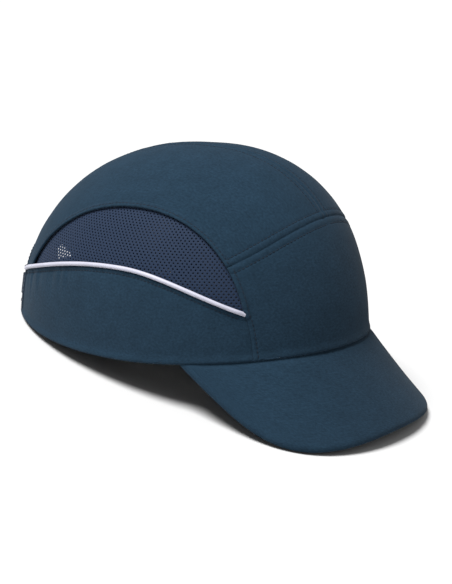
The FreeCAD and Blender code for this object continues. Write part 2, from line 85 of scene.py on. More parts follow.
PEAK_HALF_WIDTH = 85.4
PEAK_TIP_Y = -136.5
PEAK_END_BEARING = 67.0
PEAK_SLOPE = 1.314
PEAK_SAG = 0.0006
PEAK_ARCH_RADIUS = 61.4
PEAK_ARCH_OPENING = 0.0112
PEAK_SIDE_LIFT = 7.5
PEAK_SIDE_SQUARENESS = 2.07
PEAK_FRONT_SQUARENESS = 4.3
PEAK_THICKNESS = 4.0

STRAP_RADIUS = 70.5
STRAP_AXIS_Y = 48.0
STRAP_MID_Z = 23.0
STRAP_WIDTH = 18.0
STRAP_THICKNESS = 1.2
STRAP_TAPER = 0.13
STRAP_LEFT_END = 64.5
STRAP_RIGHT_END = -51.0

# The adjuster's joint says how far the head frame is tipped back, and where it sits.
STRAP_JOINT = next(joint for joint in frame["joints"] if joint["name"] == "strap_slide")
HEAD_TIP = math.atan2(STRAP_JOINT["axis"][1], STRAP_JOINT["axis"][2])


# ---------- frames and small helpers
def tipped(points):
    """Head-frame directions or offsets turned to the row frame."""
    points = np.asarray(points, float)
    c, s = math.cos(HEAD_TIP), math.sin(HEAD_TIP)
    x, y, z = points[..., 0], points[..., 1], points[..., 2]
    return np.stack([x, y * c + z * s, z * c - y * s], -1)


HEAD_ORIGIN = np.array(STRAP_JOINT["pos_m"]) / MM - tipped([0, STRAP_AXIS_Y, 0])


def place(points):
    """Head-frame millimetres to row-frame metres."""
    return (tipped(points) + HEAD_ORIGIN) * MM


def vec(x, y, z):
    return np.stack(np.broadcast_arrays(np.asarray(x, float), y, z), -1)


def sin(angle):
    return np.sin(np.radians(angle))


def cos(angle):
    return np.cos(np.radians(angle))


def mix(low, high, share):
    return low + (high - low) * share


def power(value, exponent):
    return np.maximum(value, 0) ** exponent


def length_of(vectors):
    return np.sqrt((vectors ** 2).sum(-1))


def unit(vectors):
    return vectors / np.maximum(length_of(vectors), 1e-12)[..., None]


def blended(share, places, points):
    """Points in between the points that are given at some places."""
    return np.stack([np.interp(share, places, points[:, axis]) for axis in range(3)], -1)


def smooth_step(low, high, value):
    share = np.clip((value - low) / (high - low), 0, 1)
    return share * share * (3 - 2 * share)


def bump(value, middle, width):
    return np.exp(-(((value - middle) / width) ** 2))


def mirrored(points):
    return np.asarray(points) * np.array([-1.0, 1.0, 1.0])


def rough(points, size, seed=0):
    """Smooth noise, about -1 to 1, whose lumps are about size across."""
    flat = np.asarray(points, float).reshape(-1, points.shape[-1]) / size
    if flat.shape[1] == 2:
        flat = np.column_stack([flat, np.zeros(len(flat))])
    flat = flat + 17.3 * seed
    values = np.array([noise.noise(Vector(point)) for point in flat])
    return 1.6 * values.reshape(points.shape[:-1])


# ---------- the dome that every panel lies on
def roundness(points):
    """Exponent of the dome's section, and how far out the point is on the plan."""
    x, y = points[..., 0], points[..., 1]
    length = np.where(y < 0, FRONT_LENGTH, REAR_LENGTH)
    end = np.where(y < 0, FRONT_ROUNDNESS, REAR_ROUNDNESS)
    wide = (x / HALF_WIDTH) ** 2
    deep = (y / length) ** 2
    share = deep / np.maximum(wide + deep, 1e-12)
    return SIDE_ROUNDNESS + (end - SIDE_ROUNDNESS) * share, np.sqrt(wide + deep)


def reach(points):
    """1 on the cap's outer skin, in proportion along a ray from the head frame's origin."""
    exponent, flat = roundness(points)
    height = np.abs(points[..., 2]) / CROWN_HEIGHT
    return (flat ** exponent + height ** exponent) ** (1 / exponent)


def outward(points):
    """Unit normals of the skin."""
    step = 0.05
    slopes = []
    for axis in np.eye(3) * step:
        slopes.append(reach(points + axis) - reach(points - axis))
    return unit(np.stack(slopes, -1))


def skin(points, depth=0.0):
    """Points brought onto the skin along their rays, then moved in by depth."""
    on_skin = points / reach(points)[..., None]
    return on_skin - outward(on_skin) * np.asarray(depth, float)[..., None]


def at(bearing, z, depth=0.0):
    """Skin at a bearing from the front, positive towards the wearer's right, and a height."""
    length = np.where(cos(bearing) > 0, FRONT_LENGTH, REAR_LENGTH)
    ray = vec(-HALF_WIDTH * sin(bearing), -length * cos(bearing), 0)
    exponent, _ = roundness(ray)
    flat = power(1 - (np.abs(z) / CROWN_HEIGHT) ** exponent, 1 / exponent)
    points = vec(ray[..., 0] * flat, ray[..., 1] * flat, z)
    return points - outward(points) * np.asarray(depth, float)[..., None]


def over(x, y):
    """Skin above a place on the plan."""
    exponent, flat = roundness(vec(x, y, 0))
    return vec(x, y, CROWN_HEIGHT * power(1 - flat ** exponent, 1 / exponent))


def facing(x, z, length):
    """Skin at a distance from the middle and a height; length is negative at the front."""
    y = np.full(np.shape(x), float(length))
    for _ in range(12):
        exponent, _ = roundness(vec(x, y, 0))
        flat = power(1 - (z / CROWN_HEIGHT) ** exponent, 1 / exponent)
        y = length * np.sqrt(np.maximum(flat ** 2 - (x / HALF_WIDTH) ** 2, 0))
    return vec(x, y, z)


def bearing_of(points):
    length = np.where(points[..., 1] < 0, FRONT_LENGTH, REAR_LENGTH)
    return np.degrees(np.arctan2(-points[..., 0] / HALF_WIDTH, -points[..., 1] / length))


# ---------- seam lines, wearer's right side
def rim_z(bearing):
    return RIM_MEAN + RIM_TILT * cos(bearing) + RIM_DIP * cos(2 * bearing) + RIM_SKEW * cos(3 * bearing)


def rim(bearing):
    return at(bearing, rim_z(bearing))


MESH_MIDDLE = (MESH_REAR_Y + MESH_FRONT_Y) / 2
MESH_HALF = (MESH_REAR_Y - MESH_FRONT_Y) / 2


def mesh_edge_x(y):
    """How far out the upper edge of the side mesh is, on the plan."""
    bow = MESH_BOW * (1 - ((y - MESH_MIDDLE) / MESH_HALF) ** 2)
    return MESH_PLANE_X + MESH_PLANE_SLOPE * y - bow


def mesh_arc(share):
    """Upper edge of the side mesh, from its front corner to its rear corner."""
    y = MESH_MIDDLE - MESH_HALF * cos(180 * np.asarray(share, float))
    return over(mesh_edge_x(y), y)


def arc_share(y):
    """Place along mesh_arc of a distance to the rear."""
    return math.degrees(math.acos((MESH_MIDDLE - y) / MESH_HALF)) / 180


def chained(share, corner, first, second):
    """One line, then another: the first one ends and the second starts at the corner's share."""
    share = np.asarray(share, float)
    before = first(np.minimum(share / corner, 1))
    after = second(np.clip((share - corner) / (1 - corner), 0, 1))
    return np.where((share < corner)[..., None], before, after)


def there_and_back(share, line):
    """A line from the wearer's right to the middle, then its mirror image on the left."""
    share = np.asarray(share, float)
    points = line(2 * np.minimum(share, 1 - share))
    return np.where((share > 0.5)[..., None], mirrored(points), points)


FRONT_CORNER = mesh_arc(0.0)
REAR_CORNER = mesh_arc(1.0)
JUNCTION = mesh_arc(arc_share(JUNCTION_Y))


def piping_z(bearing):
    """Height of the piping's line, which falls from its top to both corners of the mesh."""
    turn = bearing - PIPING_TOP_BEARING
    corner = np.where((turn < 0)[..., None], FRONT_CORNER, REAR_CORNER)
    corner_turn = bearing_of(corner) - PIPING_TOP_BEARING
    drop = (PIPING_TOP_Z - corner[..., 2]) / (1 - cos(PIPING_RATE * corner_turn))
    return PIPING_TOP_Z - drop * (1 - cos(PIPING_RATE * turn))


def piping_line(share):
    """Lower edge of the side mesh, from its front corner to its rear corner."""
    bearing = mix(bearing_of(FRONT_CORNER), bearing_of(REAR_CORNER), np.asarray(share, float))
    return at(bearing, piping_z(bearing))


def arch(angle):
    """Edge of the rear opening: 0 at its foot on the rim, 90 at its top in the middle."""
    angle = np.asarray(angle, float)
    foot = rim_z(150)
    x = -ARCH_HALF_WIDTH * power(np.abs(cos(angle)), 2 / ARCH_SQUARENESS)
    z = foot + (ARCH_TOP_Z - foot) * power(sin(angle), 2 / ARCH_SQUARENESS)
    return facing(x, z, REAR_LENGTH)


def whole_arch(share):
    """The same edge from the wearer's right foot, 0, over the top to the left one, 1."""
    return there_and_back(share, lambda half: arch(90 * half))


def rear_seam(share):
    """Seam that carries the piping's line on from the mesh to the arch."""
    return skin(mix(REAR_CORNER, arch(ARCH_JUNCTION), np.asarray(share, float)[..., None]))


def piping_path(share):
    """Front corner of the mesh to the arch: the whole length of the piping."""
    return chained(share, PIPING_CORNER, piping_line, rear_seam)


def vertical_seam(share):
    """Seam between front panel and lower side panel, from the rim to the mesh's front corner."""
    share = np.asarray(share, float)
    bow = vec(0, -1.5 * sin(180 * share ** 1.4), 0)
    return skin(mix(rim(FRONT_SEAM_BEARING), FRONT_CORNER, share[..., None]) + bow)


def front_side_edge(share):
    """Side edge of the front panel: up the vertical seam, then along the mesh to the cross seam."""
    return chained(share, 0.5, vertical_seam, lambda rest: mesh_arc(arc_share(JUNCTION_Y) * rest))


def cross_seam(share):
    """Seam between front panel and crown, from the mesh to the middle of the cap."""
    x = JUNCTION[0] * (1 - np.asarray(share, float))
    z = mix(CROSS_SEAM_Z, JUNCTION[2], (x / JUNCTION[0]) ** 2)
    return facing(x, z, -FRONT_LENGTH)


def whole_cross_seam(share):
    return there_and_back(share, cross_seam)


def centre_seam(share):
    """Middle seam of the crown, from the cross seam over the top to the arch."""
    front = cross_seam(1.0)
    rear = arch(90.0)
    start = math.degrees(math.atan2(front[2], front[1]))
    end = math.degrees(math.atan2(rear[2], rear[1]))
    angle = mix(start, end, np.asarray(share, float))
    return skin(vec(0, 100 * cos(angle), 100 * sin(angle)))


# ---------- lines, seams and grids
def even(line, start=0.0, end=1.0):
    """The same line, or a share of it, measured out evenly along its length."""
    native = np.linspace(start, end, 800)
    run = np.concatenate([[0], np.cumsum(length_of(np.diff(line(native), axis=0)))])

    def measured(share):
        return line(np.interp(share, run / run[-1], native))

    measured.length = run[-1]
    return measured


class Seam:
    """A sewn line on the skin."""

    def __init__(self, line, start=0.0, end=1.0):
        smooth = even(line, start, end)
        self.length = smooth.length
        self.shares = np.linspace(0, 1, int(self.length / 0.25))
        self.points = smooth(self.shares)
        self.tangents = unit(np.gradient(self.points, axis=0))
        self.tree = KDTree(len(self.points))
        for index, point in enumerate(self.points):
            self.tree.insert(point, index)
        self.tree.balance()

    def near(self, points):
        """Distance of each point from the seam, and its place along the seam."""
        found = [self.tree.find(point)[1:] for point in points.reshape(-1, 3)]
        index, distance = np.array(found).T
        shape = points.shape[:-1]
        return distance.reshape(shape), (self.shares[index.astype(int)] * self.length).reshape(shape)

    def beside(self, along, offset):
        """Points on the skin at a place along the seam and a distance to its side."""
        share = np.asarray(along, float) / self.length
        middle = blended(share, self.shares, self.points)
        tangent = blended(share, self.shares, self.tangents)
        side = unit(np.cross(tangent, outward(middle)))
        return skin(middle + side * np.asarray(offset, float)[..., None])


EDGE_STEPS = np.array([0, 0.02, 0.07, 0.15, 0.26, 0.42, 0.65, 1.0, 1.5, 2.1])


def measured_shares(lengths, count):
    """Shares along lines of these lengths, a column for each: fine steps at both ends."""
    lengths = np.asarray(lengths, float)[None]
    edge = EDGE_STEPS[:, None] + 0 * lengths
    middle = edge[-1] + (lengths - 2 * edge[-1]) * (np.arange(1, count) / count)[:, None]
    return np.concatenate([edge, middle, lengths - edge[::-1]]) / lengths


def coons(edges, u, v):
    """Points of the patch that four edge lines span, brought onto the skin."""
    bottom, top, front, rear = edges
    along = mix(bottom(u), top(u), v[..., None])
    across = mix(front(v), rear(v), u[..., None])
    low = mix(bottom(0.0), bottom(1.0), u[..., None])
    high = mix(top(0.0), top(1.0), u[..., None])
    return skin(along + across - mix(low, high, v[..., None]))


def panel_grid(edges, step):
    """Grid of skin points of a panel, in even steps with finer ones along all four edges."""
    coarse = np.linspace(0, 1, 50)
    u, v = np.meshgrid(coarse, coarse, indexing="ij")
    points = coons(edges, u, v)
    column_length = length_of(np.diff(points, axis=1)).sum(1)
    row_length = length_of(np.diff(points, axis=0)).sum(0)
    columns = int(row_length.mean() / step)
    rows = int(column_length.mean() / step)
    nominal = measured_shares([row_length.mean()], columns)[:, 0]
    v = measured_shares(np.interp(nominal, coarse, column_length), rows).T
    u = measured_shares(np.interp(v.mean(0), coarse, row_length), columns)
    return coons(edges, u, v)


def edge_distances(grid):
    """Distance of every grid point from the grid's four edges, along the grid's lines."""
    found = []
    for axis in (0, 1):
        steps = length_of(np.diff(grid, axis=axis))
        run = np.cumsum(steps, axis=axis)
        run = np.concatenate([np.zeros_like(run.take([0], axis)), run], axis)
        found += [run, run.take([-1], axis) - run]
    return found


def rounded(distance, radius):
    """Half thickness at a distance from an edge that is rounded off."""
    return radius * np.sqrt(1 - np.clip(1 - distance / radius, 0, 1) ** 2)


def rounded_all(grid, half):
    """Half thickness of a whole grid with all four edges rounded off."""
    nearest = np.minimum.reduce(edge_distances(grid))
    return np.minimum(rounded(nearest, half), half)


def quads(index, wrap=False):
    if wrap:
        index = np.concatenate([index, index[:1]])
    corners = (index[:-1, :-1], index[1:, :-1], index[1:, 1:], index[:-1, 1:])
    return np.stack(corners, -1).reshape(-1, 4)


def normals_of(grid, wrap=False):
    if wrap:
        along = np.roll(grid, -1, 0) - np.roll(grid, 1, 0)
    else:
        along = np.gradient(grid, axis=0)
    return unit(np.cross(along, np.gradient(grid, axis=1)))


def around(centre, half, uv, wrap=False):
    """Closed mesh round a grid of middle points. Both faces share the points of the border."""
    normal = normals_of(centre, wrap)
    border = np.zeros(centre.shape[:2], bool)
    border[:, [0, -1]] = True
    if not wrap:
        border[[0, -1]] = True
    thick = (np.where(border, 0, half))[..., None]
    inside = ~border
    upper = np.arange(border.size).reshape(border.shape)
    lower = upper.copy()
    lower[inside] = border.size + np.arange(inside.sum())
    points = np.concatenate([(centre + normal * thick).reshape(-1, 3), (centre - normal * thick)[inside]])
    faces = np.concatenate([quads(upper, wrap), quads(lower, wrap)[:, ::-1]])
    return points, faces, np.concatenate([uv.reshape(-1, 2), uv[inside]])


def cloth_uv(grid):
    """Place of every grid point on the flat cloth, in millimetres."""
    across, _, up, _ = edge_distances(grid)
    return np.stack([across, up], -1)


def even_sheet(grid, half):
    """A sheet's grid of middle points, and its closed mesh of an even thickness."""
    return grid, around(grid, rounded_all(grid, half), cloth_uv(grid))


def mirror_mesh(points, faces, uv):
    return mirrored(points), faces[:, ::-1], uv


def joined(*meshes):
    """Several meshes as one."""
    faces, count = [], 0
    for mesh in meshes:
        faces.append(mesh[1] + count)
        count += len(mesh[0])
    points = np.concatenate([mesh[0] for mesh in meshes])
    return points, np.concatenate(faces), np.concatenate([mesh[2] for mesh in meshes])


def tubes(paths, up, radii, sides):
    """Round rods along paths, an array of rods by points, closed to a point at both ends."""
    tangent = unit(np.gradient(paths, axis=1))
    side = unit(np.cross(tangent, up))
    rise = np.cross(side, tangent)
    turn = np.arange(sides) * 2 * np.pi / sides - np.pi / 2
    ring = side[:, :, None] * np.cos(turn)[:, None] + rise[:, :, None] * np.sin(turn)[:, None]
    radii = np.broadcast_to(radii, paths.shape[:2])[:, :, None, None]
    points = paths[:, :, None] + ring * radii
    count, length = paths.shape[:2]
    index = np.arange(count * length * sides).reshape(count, length, sides)
    index = np.concatenate([index, index[:, :, :1]], 2)
    corners = (index[:, :-1, :-1], index[:, 1:, :-1], index[:, 1:, 1:], index[:, :-1, 1:])
    faces = [np.stack(corners, -1).reshape(-1, 4)]
    ends = np.concatenate([index[:, 0, :sides], index[:, -1, :sides][:, ::-1]])
    for k in range(1, sides // 2):
        faces.append(ends[:, [k - 1, k, sides - 1 - k, sides - k]])
    steps = length_of(np.diff(paths, axis=1))
    run = np.concatenate([np.zeros((count, 1)), np.cumsum(steps, axis=1)], 1)
    uv = np.stack(np.broadcast_arrays(run[:, :, None], (turn * radii.max())[None, None]), -1)
    return points.reshape(-1, 3), np.concatenate(faces), uv.reshape(-1, 2)


# ---------- materials
def linear(red, green, blue):
    """Scene colour of a 0 to 255 screen colour."""
    share = np.array([red, green, blue]) / 255
    flat = np.where(share <= 0.04045, share / 12.92, ((share + 0.055) / 1.055) ** 2.4)
    return (*flat.tolist(), 1.0)


class Look:
    """A material with its shader and a few ways to add to it."""

    def __init__(self, name, colour, rough, **settings):
        self.material = bpy.data.materials.new(name)
        self.material.use_nodes = True
        self.nodes = self.material.node_tree.nodes
        self.links = self.material.node_tree.links
        self.shader = self.nodes["Principled BSDF"]
        self.shader.inputs["Base Color"].default_value = colour
        self.shader.inputs["Roughness"].default_value = rough
        self.colour = colour[:3]
        self.normal = None
        for socket, value in settings.items():
            title = socket.replace("_", " ").title().replace("Ior", "IOR")
            self.shader.inputs[title].default_value = value

    def give(self, socket, value):
        """Link a socket to another node's outlet, or set its number or colour."""
        if isinstance(value, bpy.types.NodeSocket):
            self.links.new(value, socket)
        else:
            socket.default_value = value

    def add(self, kind, **inputs):
        node = self.nodes.new(kind)
        for name, value in inputs.items():
            self.give(node.inputs[name.replace("_", " ").title()], value)
        return node

    def where(self, source, stretch=(1, 1, 1), turn=0.0):
        """Texture position: the cloth's own millimetres, or the object's metres."""
        if source == "cloth":
            start = self.nodes.new("ShaderNodeUVMap")
            start.uv_map = "cloth"
            outlet = start.outputs["UV"]
        else:
            outlet = self.nodes.new("ShaderNodeTexCoord").outputs["Object"]
        rotation = (0, 0, math.radians(turn))
        return self.add("ShaderNodeMapping", vector=outlet, rotation=rotation, scale=stretch).outputs[0]

    def noise(self, scale, detail, source="cloth", stretch=(1, 1, 1)):
        where = self.where(source, stretch)
        return self.add("ShaderNodeTexNoise", vector=where, scale=scale, detail=detail).outputs["Fac"]

    def bands(self, period, wobble, turn=0.0):
        """Soft stripes over the cloth, one to a period, turned by some degrees."""
        scale = 2 * math.pi / 20 / period
        where = self.where("cloth", turn=turn)
        return self.add("ShaderNodeTexWave", vector=where, scale=scale, distortion=wobble).outputs["Fac"]

    def cells(self, scale, source="cloth"):
        return self.add("ShaderNodeTexVoronoi", vector=self.where(source), scale=scale).outputs["Distance"]

    def maths(self, operation, *values):
        node = self.nodes.new("ShaderNodeMath")
        node.operation = operation
        for socket, value in zip(node.inputs, values):
            self.give(socket, value)
        return node.outputs[0]

    def vary(self, factor, low, high):
        """Multiply the colour so far between two strengths, by a factor from 0 to 1."""
        spread = self.add("ShaderNodeMapRange", value=factor, from_min=0.25, from_max=0.75,
                          to_min=low, to_max=high)
        blend = self.nodes.new("ShaderNodeVectorMath")
        blend.operation = "SCALE"
        self.give(blend.inputs[0], self.colour)
        self.give(blend.inputs["Scale"], spread.outputs["Result"])
        self.colour = blend.outputs["Vector"]
        self.give(self.shader.inputs["Base Color"], self.colour)

    def bump(self, height, distance, strength):
        """Surface relief of a height from 0 to 1, over a distance in millimetres."""
        node = self.add("ShaderNodeBump", height=height, strength=strength, distance=distance * MM)
        if self.normal:
            self.give(node.inputs["Normal"], self.normal)
        self.normal = node.outputs["Normal"]
        self.give(self.shader.inputs["Normal"], self.normal)


def twill(name, colour):
    """Brushed cotton twill: diagonal wales, the yarns across them, slubs and worn patches."""
    look = Look(name, colour, 1.0, sheen_weight=0.03, sheen_roughness=0.5, specular_ior_level=0.08)
    wales = look.bands(0.5, 0.6, 58)
    yarns = look.bands(0.275, 0.8, -14)
    fuzz = look.noise(2.6, 4.0)
    melange = look.noise(1.0, 3.0, "cloth", (0.6, 0.8, 1))
    blotches = look.noise(0.11, 2.0)
    slubs = look.noise(1.0, 3.0, "cloth", (0.12, 1.4, 1))
    patches = look.noise(22.0, 3.0, "object")
    look.vary(patches, 0.93, 1.08)
    look.vary(slubs, 0.93, 1.07)
    look.vary(melange, 0.76, 1.26)
    look.vary(blotches, 0.92, 1.08)
    look.vary(fuzz, 0.82, 1.18)
    look.vary(wales, 0.96, 1.03)
    look.bump(patches, 0.25, 0.5)
    weave = look.maths("MULTIPLY", look.maths("ADD", wales, look.maths("MULTIPLY", yarns, 0.5)), 0.66)
    look.bump(weave, 0.035, 0.6)
    look.bump(fuzz, 0.06, 0.7)
    return look.material


def knit(name, colour):
    """Smooth warp-knit mesh yarn."""
    look = Look(name, colour, 0.75, sheen_weight=0.05, sheen_roughness=0.4, specular_ior_level=0.3)
    ribs = look.bands(0.34, 0.8)
    cross = look.bands(0.9, 1.0, 90)
    fuzz = look.noise(3.0, 3.0)
    look.vary(fuzz, 0.90, 1.10)
    look.vary(ribs, 0.92, 1.06)
    look.bump(look.maths("ADD", ribs, cross), 0.05, 0.6)
    look.bump(fuzz, 0.03, 0.5)
    return look.material


def piping_cloth(name):
    look = Look(name, linear(184, 184, 199), 0.5, sheen_weight=0.15, sheen_roughness=0.3)
    weave = look.bands(0.32, 0.4, 35)
    cross = look.bands(0.32, 0.4, -55)
    marks = look.noise(150.0, 3.0, "object")
    look.vary(marks, 0.93, 1.04)
    look.bump(look.maths("ADD", weave, cross), 0.025, 0.5)
    return look.material


def tape(name, colour):
    """Narrow woven tape with a fine rib along it."""
    look = Look(name, colour, 0.9, sheen_weight=0.06, sheen_roughness=0.5, specular_ior_level=0.2)
    ribs = look.bands(0.45, 0.3, 90)
    cross = look.bands(0.38, 0.3)
    fuzz = look.noise(2.0, 3.0)
    look.vary(fuzz, 0.9, 1.1)
    look.bump(look.maths("ADD", ribs, cross), 0.06, 0.6)
    return look.material


def webbing(name, colour):
    """Woven strap yarn. The ribs across it are in the shape, and painted shade darkens the colour in the
    hollows between them.
    """
    look = Look(name, colour, 0.8, sheen_weight=0.08, sheen_roughness=0.45, specular_ior_level=0.3)
    yarns = look.bands(0.5, 0.4, 90)
    fuzz = look.noise(2.4, 3.0)
    ribs = look.bands(0.675, 0.2)
    look.vary(fuzz, 0.86, 1.14)
    look.vary(yarns, 0.82, 1.10)
    # painted shade: the colour is darker in the hollows between the ribs, where shade falls
    look.vary(ribs, 0.84, 1.10)
    look.bump(look.maths("ADD", ribs, yarns), 0.07, 0.7)
    look.bump(fuzz, 0.04, 0.5)
    return look.material


def towelling(name, colour):
    """Looped terry pile, with painted shade darkening the colour in the hollows between the loops."""
    look = Look(name, colour, 1.0, sheen_weight=0.15, sheen_roughness=0.6, specular_ior_level=0.1)
    loops = look.cells(1.25)
    tufts = look.noise(0.55, 4.0)
    # painted shade and painted light: lighter on the loop tops, darker in the hollows between them
    look.vary(loops, 1.15, 0.75)
    look.vary(tufts, 0.88, 1.12)
    look.bump(look.maths("SUBTRACT", 1.0, loops), 0.35, 0.8)
    look.bump(tufts, 0.3, 0.6)
    return look.material


def foam_skin(name, colour):
    """Closed-cell foam with a fine skin of pores."""
    look = Look(name, colour, 0.82, specular_ior_level=0.35)
    pores = look.cells(1500.0, "object")
    lumps = look.noise(260.0, 3.0, "object")
    look.vary(lumps, 0.9, 1.1)
    look.bump(pores, 0.08, 0.5)
    look.bump(lumps, 0.12, 0.4)
    return look.material


def moulded(name, colour, rough, grain=1300.0):
    """Moulded plastic with a fine spark-eroded grain and faint flow marks."""
    look = Look(name, colour, rough, specular_ior_level=0.5)
    fine = look.noise(grain, 3.0, "object")
    flow = look.noise(25.0, 3.0, "object", (1, 1, 4))
    look.vary(flow, 0.92, 1.08)
    look.bump(fine, 0.03, 0.6)
    look.bump(flow, 0.1, 0.3)
    return look.material


def steel(name):
    look = Look(name, linear(190, 190, 194), 0.32, metallic=1.0, anisotropic=0.4)
    brushed = look.noise(900.0, 3.0, "object", (1, 1, 30))
    look.vary(brushed, 0.92, 1.05)
    look.bump(brushed, 0.01, 0.5)
    return look.material


def board(name, colour):
    look = Look(name, colour, 0.7)
    fibres = look.noise(300.0, 4.0, "object", (1, 1, 6))
    look.vary(fibres, 0.92, 1.05)
    look.bump(fibres, 0.05, 0.5)
    return look.material


def thread(name, colour):
    """Twisted sewing thread."""
    look = Look(name, colour, 0.7, sheen_weight=0.04, sheen_roughness=0.4, specular_ior_level=0.3)
    twist = look.bands(0.28, 0.5, 40)
    look.vary(twist, 0.82, 1.12)
    look.bump(twist, 0.04, 0.5)
    return look.material


NAVY = linear(29, 48, 63)
LOOKS = {
    "cover": twill("cover_twill", NAVY),
    "mesh": knit("side_knit", linear(18, 37, 62)),
    "piping": piping_cloth("piping_cloth"),
    "tape": tape("binding_tape", linear(34, 50, 66)),
    "webbing": webbing("webbing", linear(32, 46, 62)),
    "towelling": towelling("sweatband_towelling", linear(38, 50, 64)),
    "foam": foam_skin("pad_foam", linear(52, 54, 58)),
    "shell": moulded("shell_plastic", linear(34, 35, 38), 0.42),
    "buckle": moulded("buckle_plastic", linear(26, 27, 30), 0.38, 2200.0),
    "pin": steel("pin_steel"),
    "board": board("peak_board", linear(190, 189, 182)),
    "label": tape("label_cloth", linear(190, 190, 186)),
    "thread": thread("navy_thread", linear(17, 28, 42)),
    "dark_thread": thread("dark_thread", linear(26, 34, 46)),
}


# ---------- placing pieces
def piece(name, mesh, look, body="root", replaces=()):
    """One visible object, from points in the head frame's millimetres and faces."""
    points, faces, uv = mesh
    data = bpy.data.meshes.new(name)
    data.from_pydata(place(points).tolist(), [], faces.tolist())
    corner = np.empty(len(data.loops), int)
    data.loops.foreach_get("vertex_index", corner)
    data.uv_layers.new(name="cloth").data.foreach_set("uv", uv[corner].ravel())
    data.materials.append(LOOKS[look])
    data.shade_smooth()
    item = bpy.data.objects.new(name, data)
    bpy.context.scene.collection.objects.link(item)
    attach(item, body)
    if replaces:
        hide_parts(*replaces)
    return item


def cloth(name, built, look, stands_for, flip=None, body="root"):
    """A sheet's object, from its grid of points and its mesh; its flat size is worked out but not used."""
    grid, mesh = built
    item = piece(name, flip(*mesh) if flip else mesh, look, body, [stands_for])
    along, _, up, _ = edge_distances(grid)
    width = along[-1].max() * MM
    height = up[:, -1].max() * MM
    across = np.diff(grid, axis=0)[:, :-1]
    upward = np.diff(grid, axis=1)[:-1]
    width, height = round(float(width), 4), round(float(height), 4)
    return mesh


# ---------- stitching
STITCH = 2.6


def laid_on(points, tree, face=1.0):
    """Points dropped onto a mesh from outside, or from inside the cap, and the normals there."""
    normal = outward(points) * face
    clear = 6.0 if face > 0 else 30.0
    found = []
    for point, up in zip((points + normal * clear).reshape(-1, 3), normal.reshape(-1, 3)):
        hit = tree.ray_cast(Vector(point), Vector(-up), 2 * clear)[0]
        found.append(point - up * clear if hit is None else np.array(hit))
    return np.array(found).reshape(points.shape), normal


def tree_of(*meshes):
    """Search tree over the faces of some meshes."""
    points, faces, _ = joined(*meshes)
    return BVHTree.FromPolygons(points.tolist(), faces.tolist())


THREAD_RADIUS = 0.21


def stitch_row(seam, offset, tree, face=1.0, start=2.0, end=2.0):
    """Lock stitches along a seam at a distance to its side, sunk in at both ends of each."""
    count = int((seam.length - start - end) / STITCH)
    first = start + np.arange(count)[:, None] * STITCH
    share = np.array([0.06, 0.16, 0.35, 0.5, 0.65, 0.84, 0.94])
    along = first + share * STITCH
    slant = 0.07 * np.sign(offset) * (1 - 2 * share)
    wander = 0.06 * np.sin(first * 0.9) + 0.04 * np.sin(first * 0.31 + 1)
    points, normal = laid_on(seam.beside(along, offset + slant + wander), tree, face)
    lift = np.array([-0.22, -0.02, 0.12, 0.15, 0.12, -0.02, -0.22])
    thick = THREAD_RADIUS * np.array([0.35, 0.8, 1.0, 1.0, 1.0, 0.8, 0.35])
    return tubes(points + normal * lift[:, None], normal, thick, 6)


# ---------- cover panels
THICK = 0.38
FACE_DEPTH = 0.45
HEM_RADIUS = 0.9
HEM_FLARE = 0.7
HEM_LIFT = HEM_RADIUS + THICK + 0.05
ROW = 4.5
FRONT_ROW = 3.0
EDGE_ROW = 2.1
PIPING_ROW = 3.6
SEAM_GROOVE = 0.45

CROSS = Seam(whole_cross_seam)
CENTRE = Seam(centre_seam)
CROWN_EDGE = Seam(mesh_arc, arc_share(JUNCTION_Y), 1)
FRONT_EDGE = Seam(mesh_arc, 0, arc_share(JUNCTION_Y))
VERTICAL = Seam(vertical_seam)
PIPING = Seam(piping_path)
ARCH = Seam(whole_arch)


def ridges(seam_place, size, seed):
    """Soft folds that run away from a seam, from a place along it."""
    return rough(np.stack([seam_place, 0 * seam_place], -1), size, seed)


def relief(points, rows, seed, free=()):
    """Height of the cloth over the skin: slow waves, valleys along the rows, small puckers."""
    height = 0.24 * rough(points, 32, seed) + 0.07 * rough(points, 12, seed + 1)
    for seam, row in rows:
        distance, along = seam.near(points)
        height -= (0.0 if seam in free else SEAM_GROOVE) * bump(distance, 0, 1.1)
        fade = np.exp(-((distance / 8) ** 2))
        height += 0.11 * ridges(along, 3.4, seed + 2) * fade * np.clip(distance / 1.5, 0.3, 1)
        if row:
            height += 0.20 * np.sin(np.pi * np.clip(distance / row, 0, 1))
            dimple = 0.68 + 0.32 * np.cos(2 * np.pi * (along - 2.0) / STITCH)
            height -= 0.42 * dimple * bump(distance, row, 0.6)
    return height


def calm_near_arch(points):
    """0 under the arch's tape and 1 away from it."""
    distance, _ = ARCH.near(points)
    return smooth_step(4.5, 9.0, distance)


def raised_rim(start, end):
    """The rim between two bearings, as high as the middle of the hem's fold."""
    def line(share):
        bearing = mix(start, end, np.asarray(share, float))
        return at(bearing, rim_z(bearing) + HEM_LIFT)

    return even(line)


def trimmed(line, cut):
    """A line without its first few millimetres."""
    whole = even(line)

    def rest(share):
        share = np.asarray(share, float)
        return whole(cut / whole.length + share * (1 - cut / whole.length))

    return rest


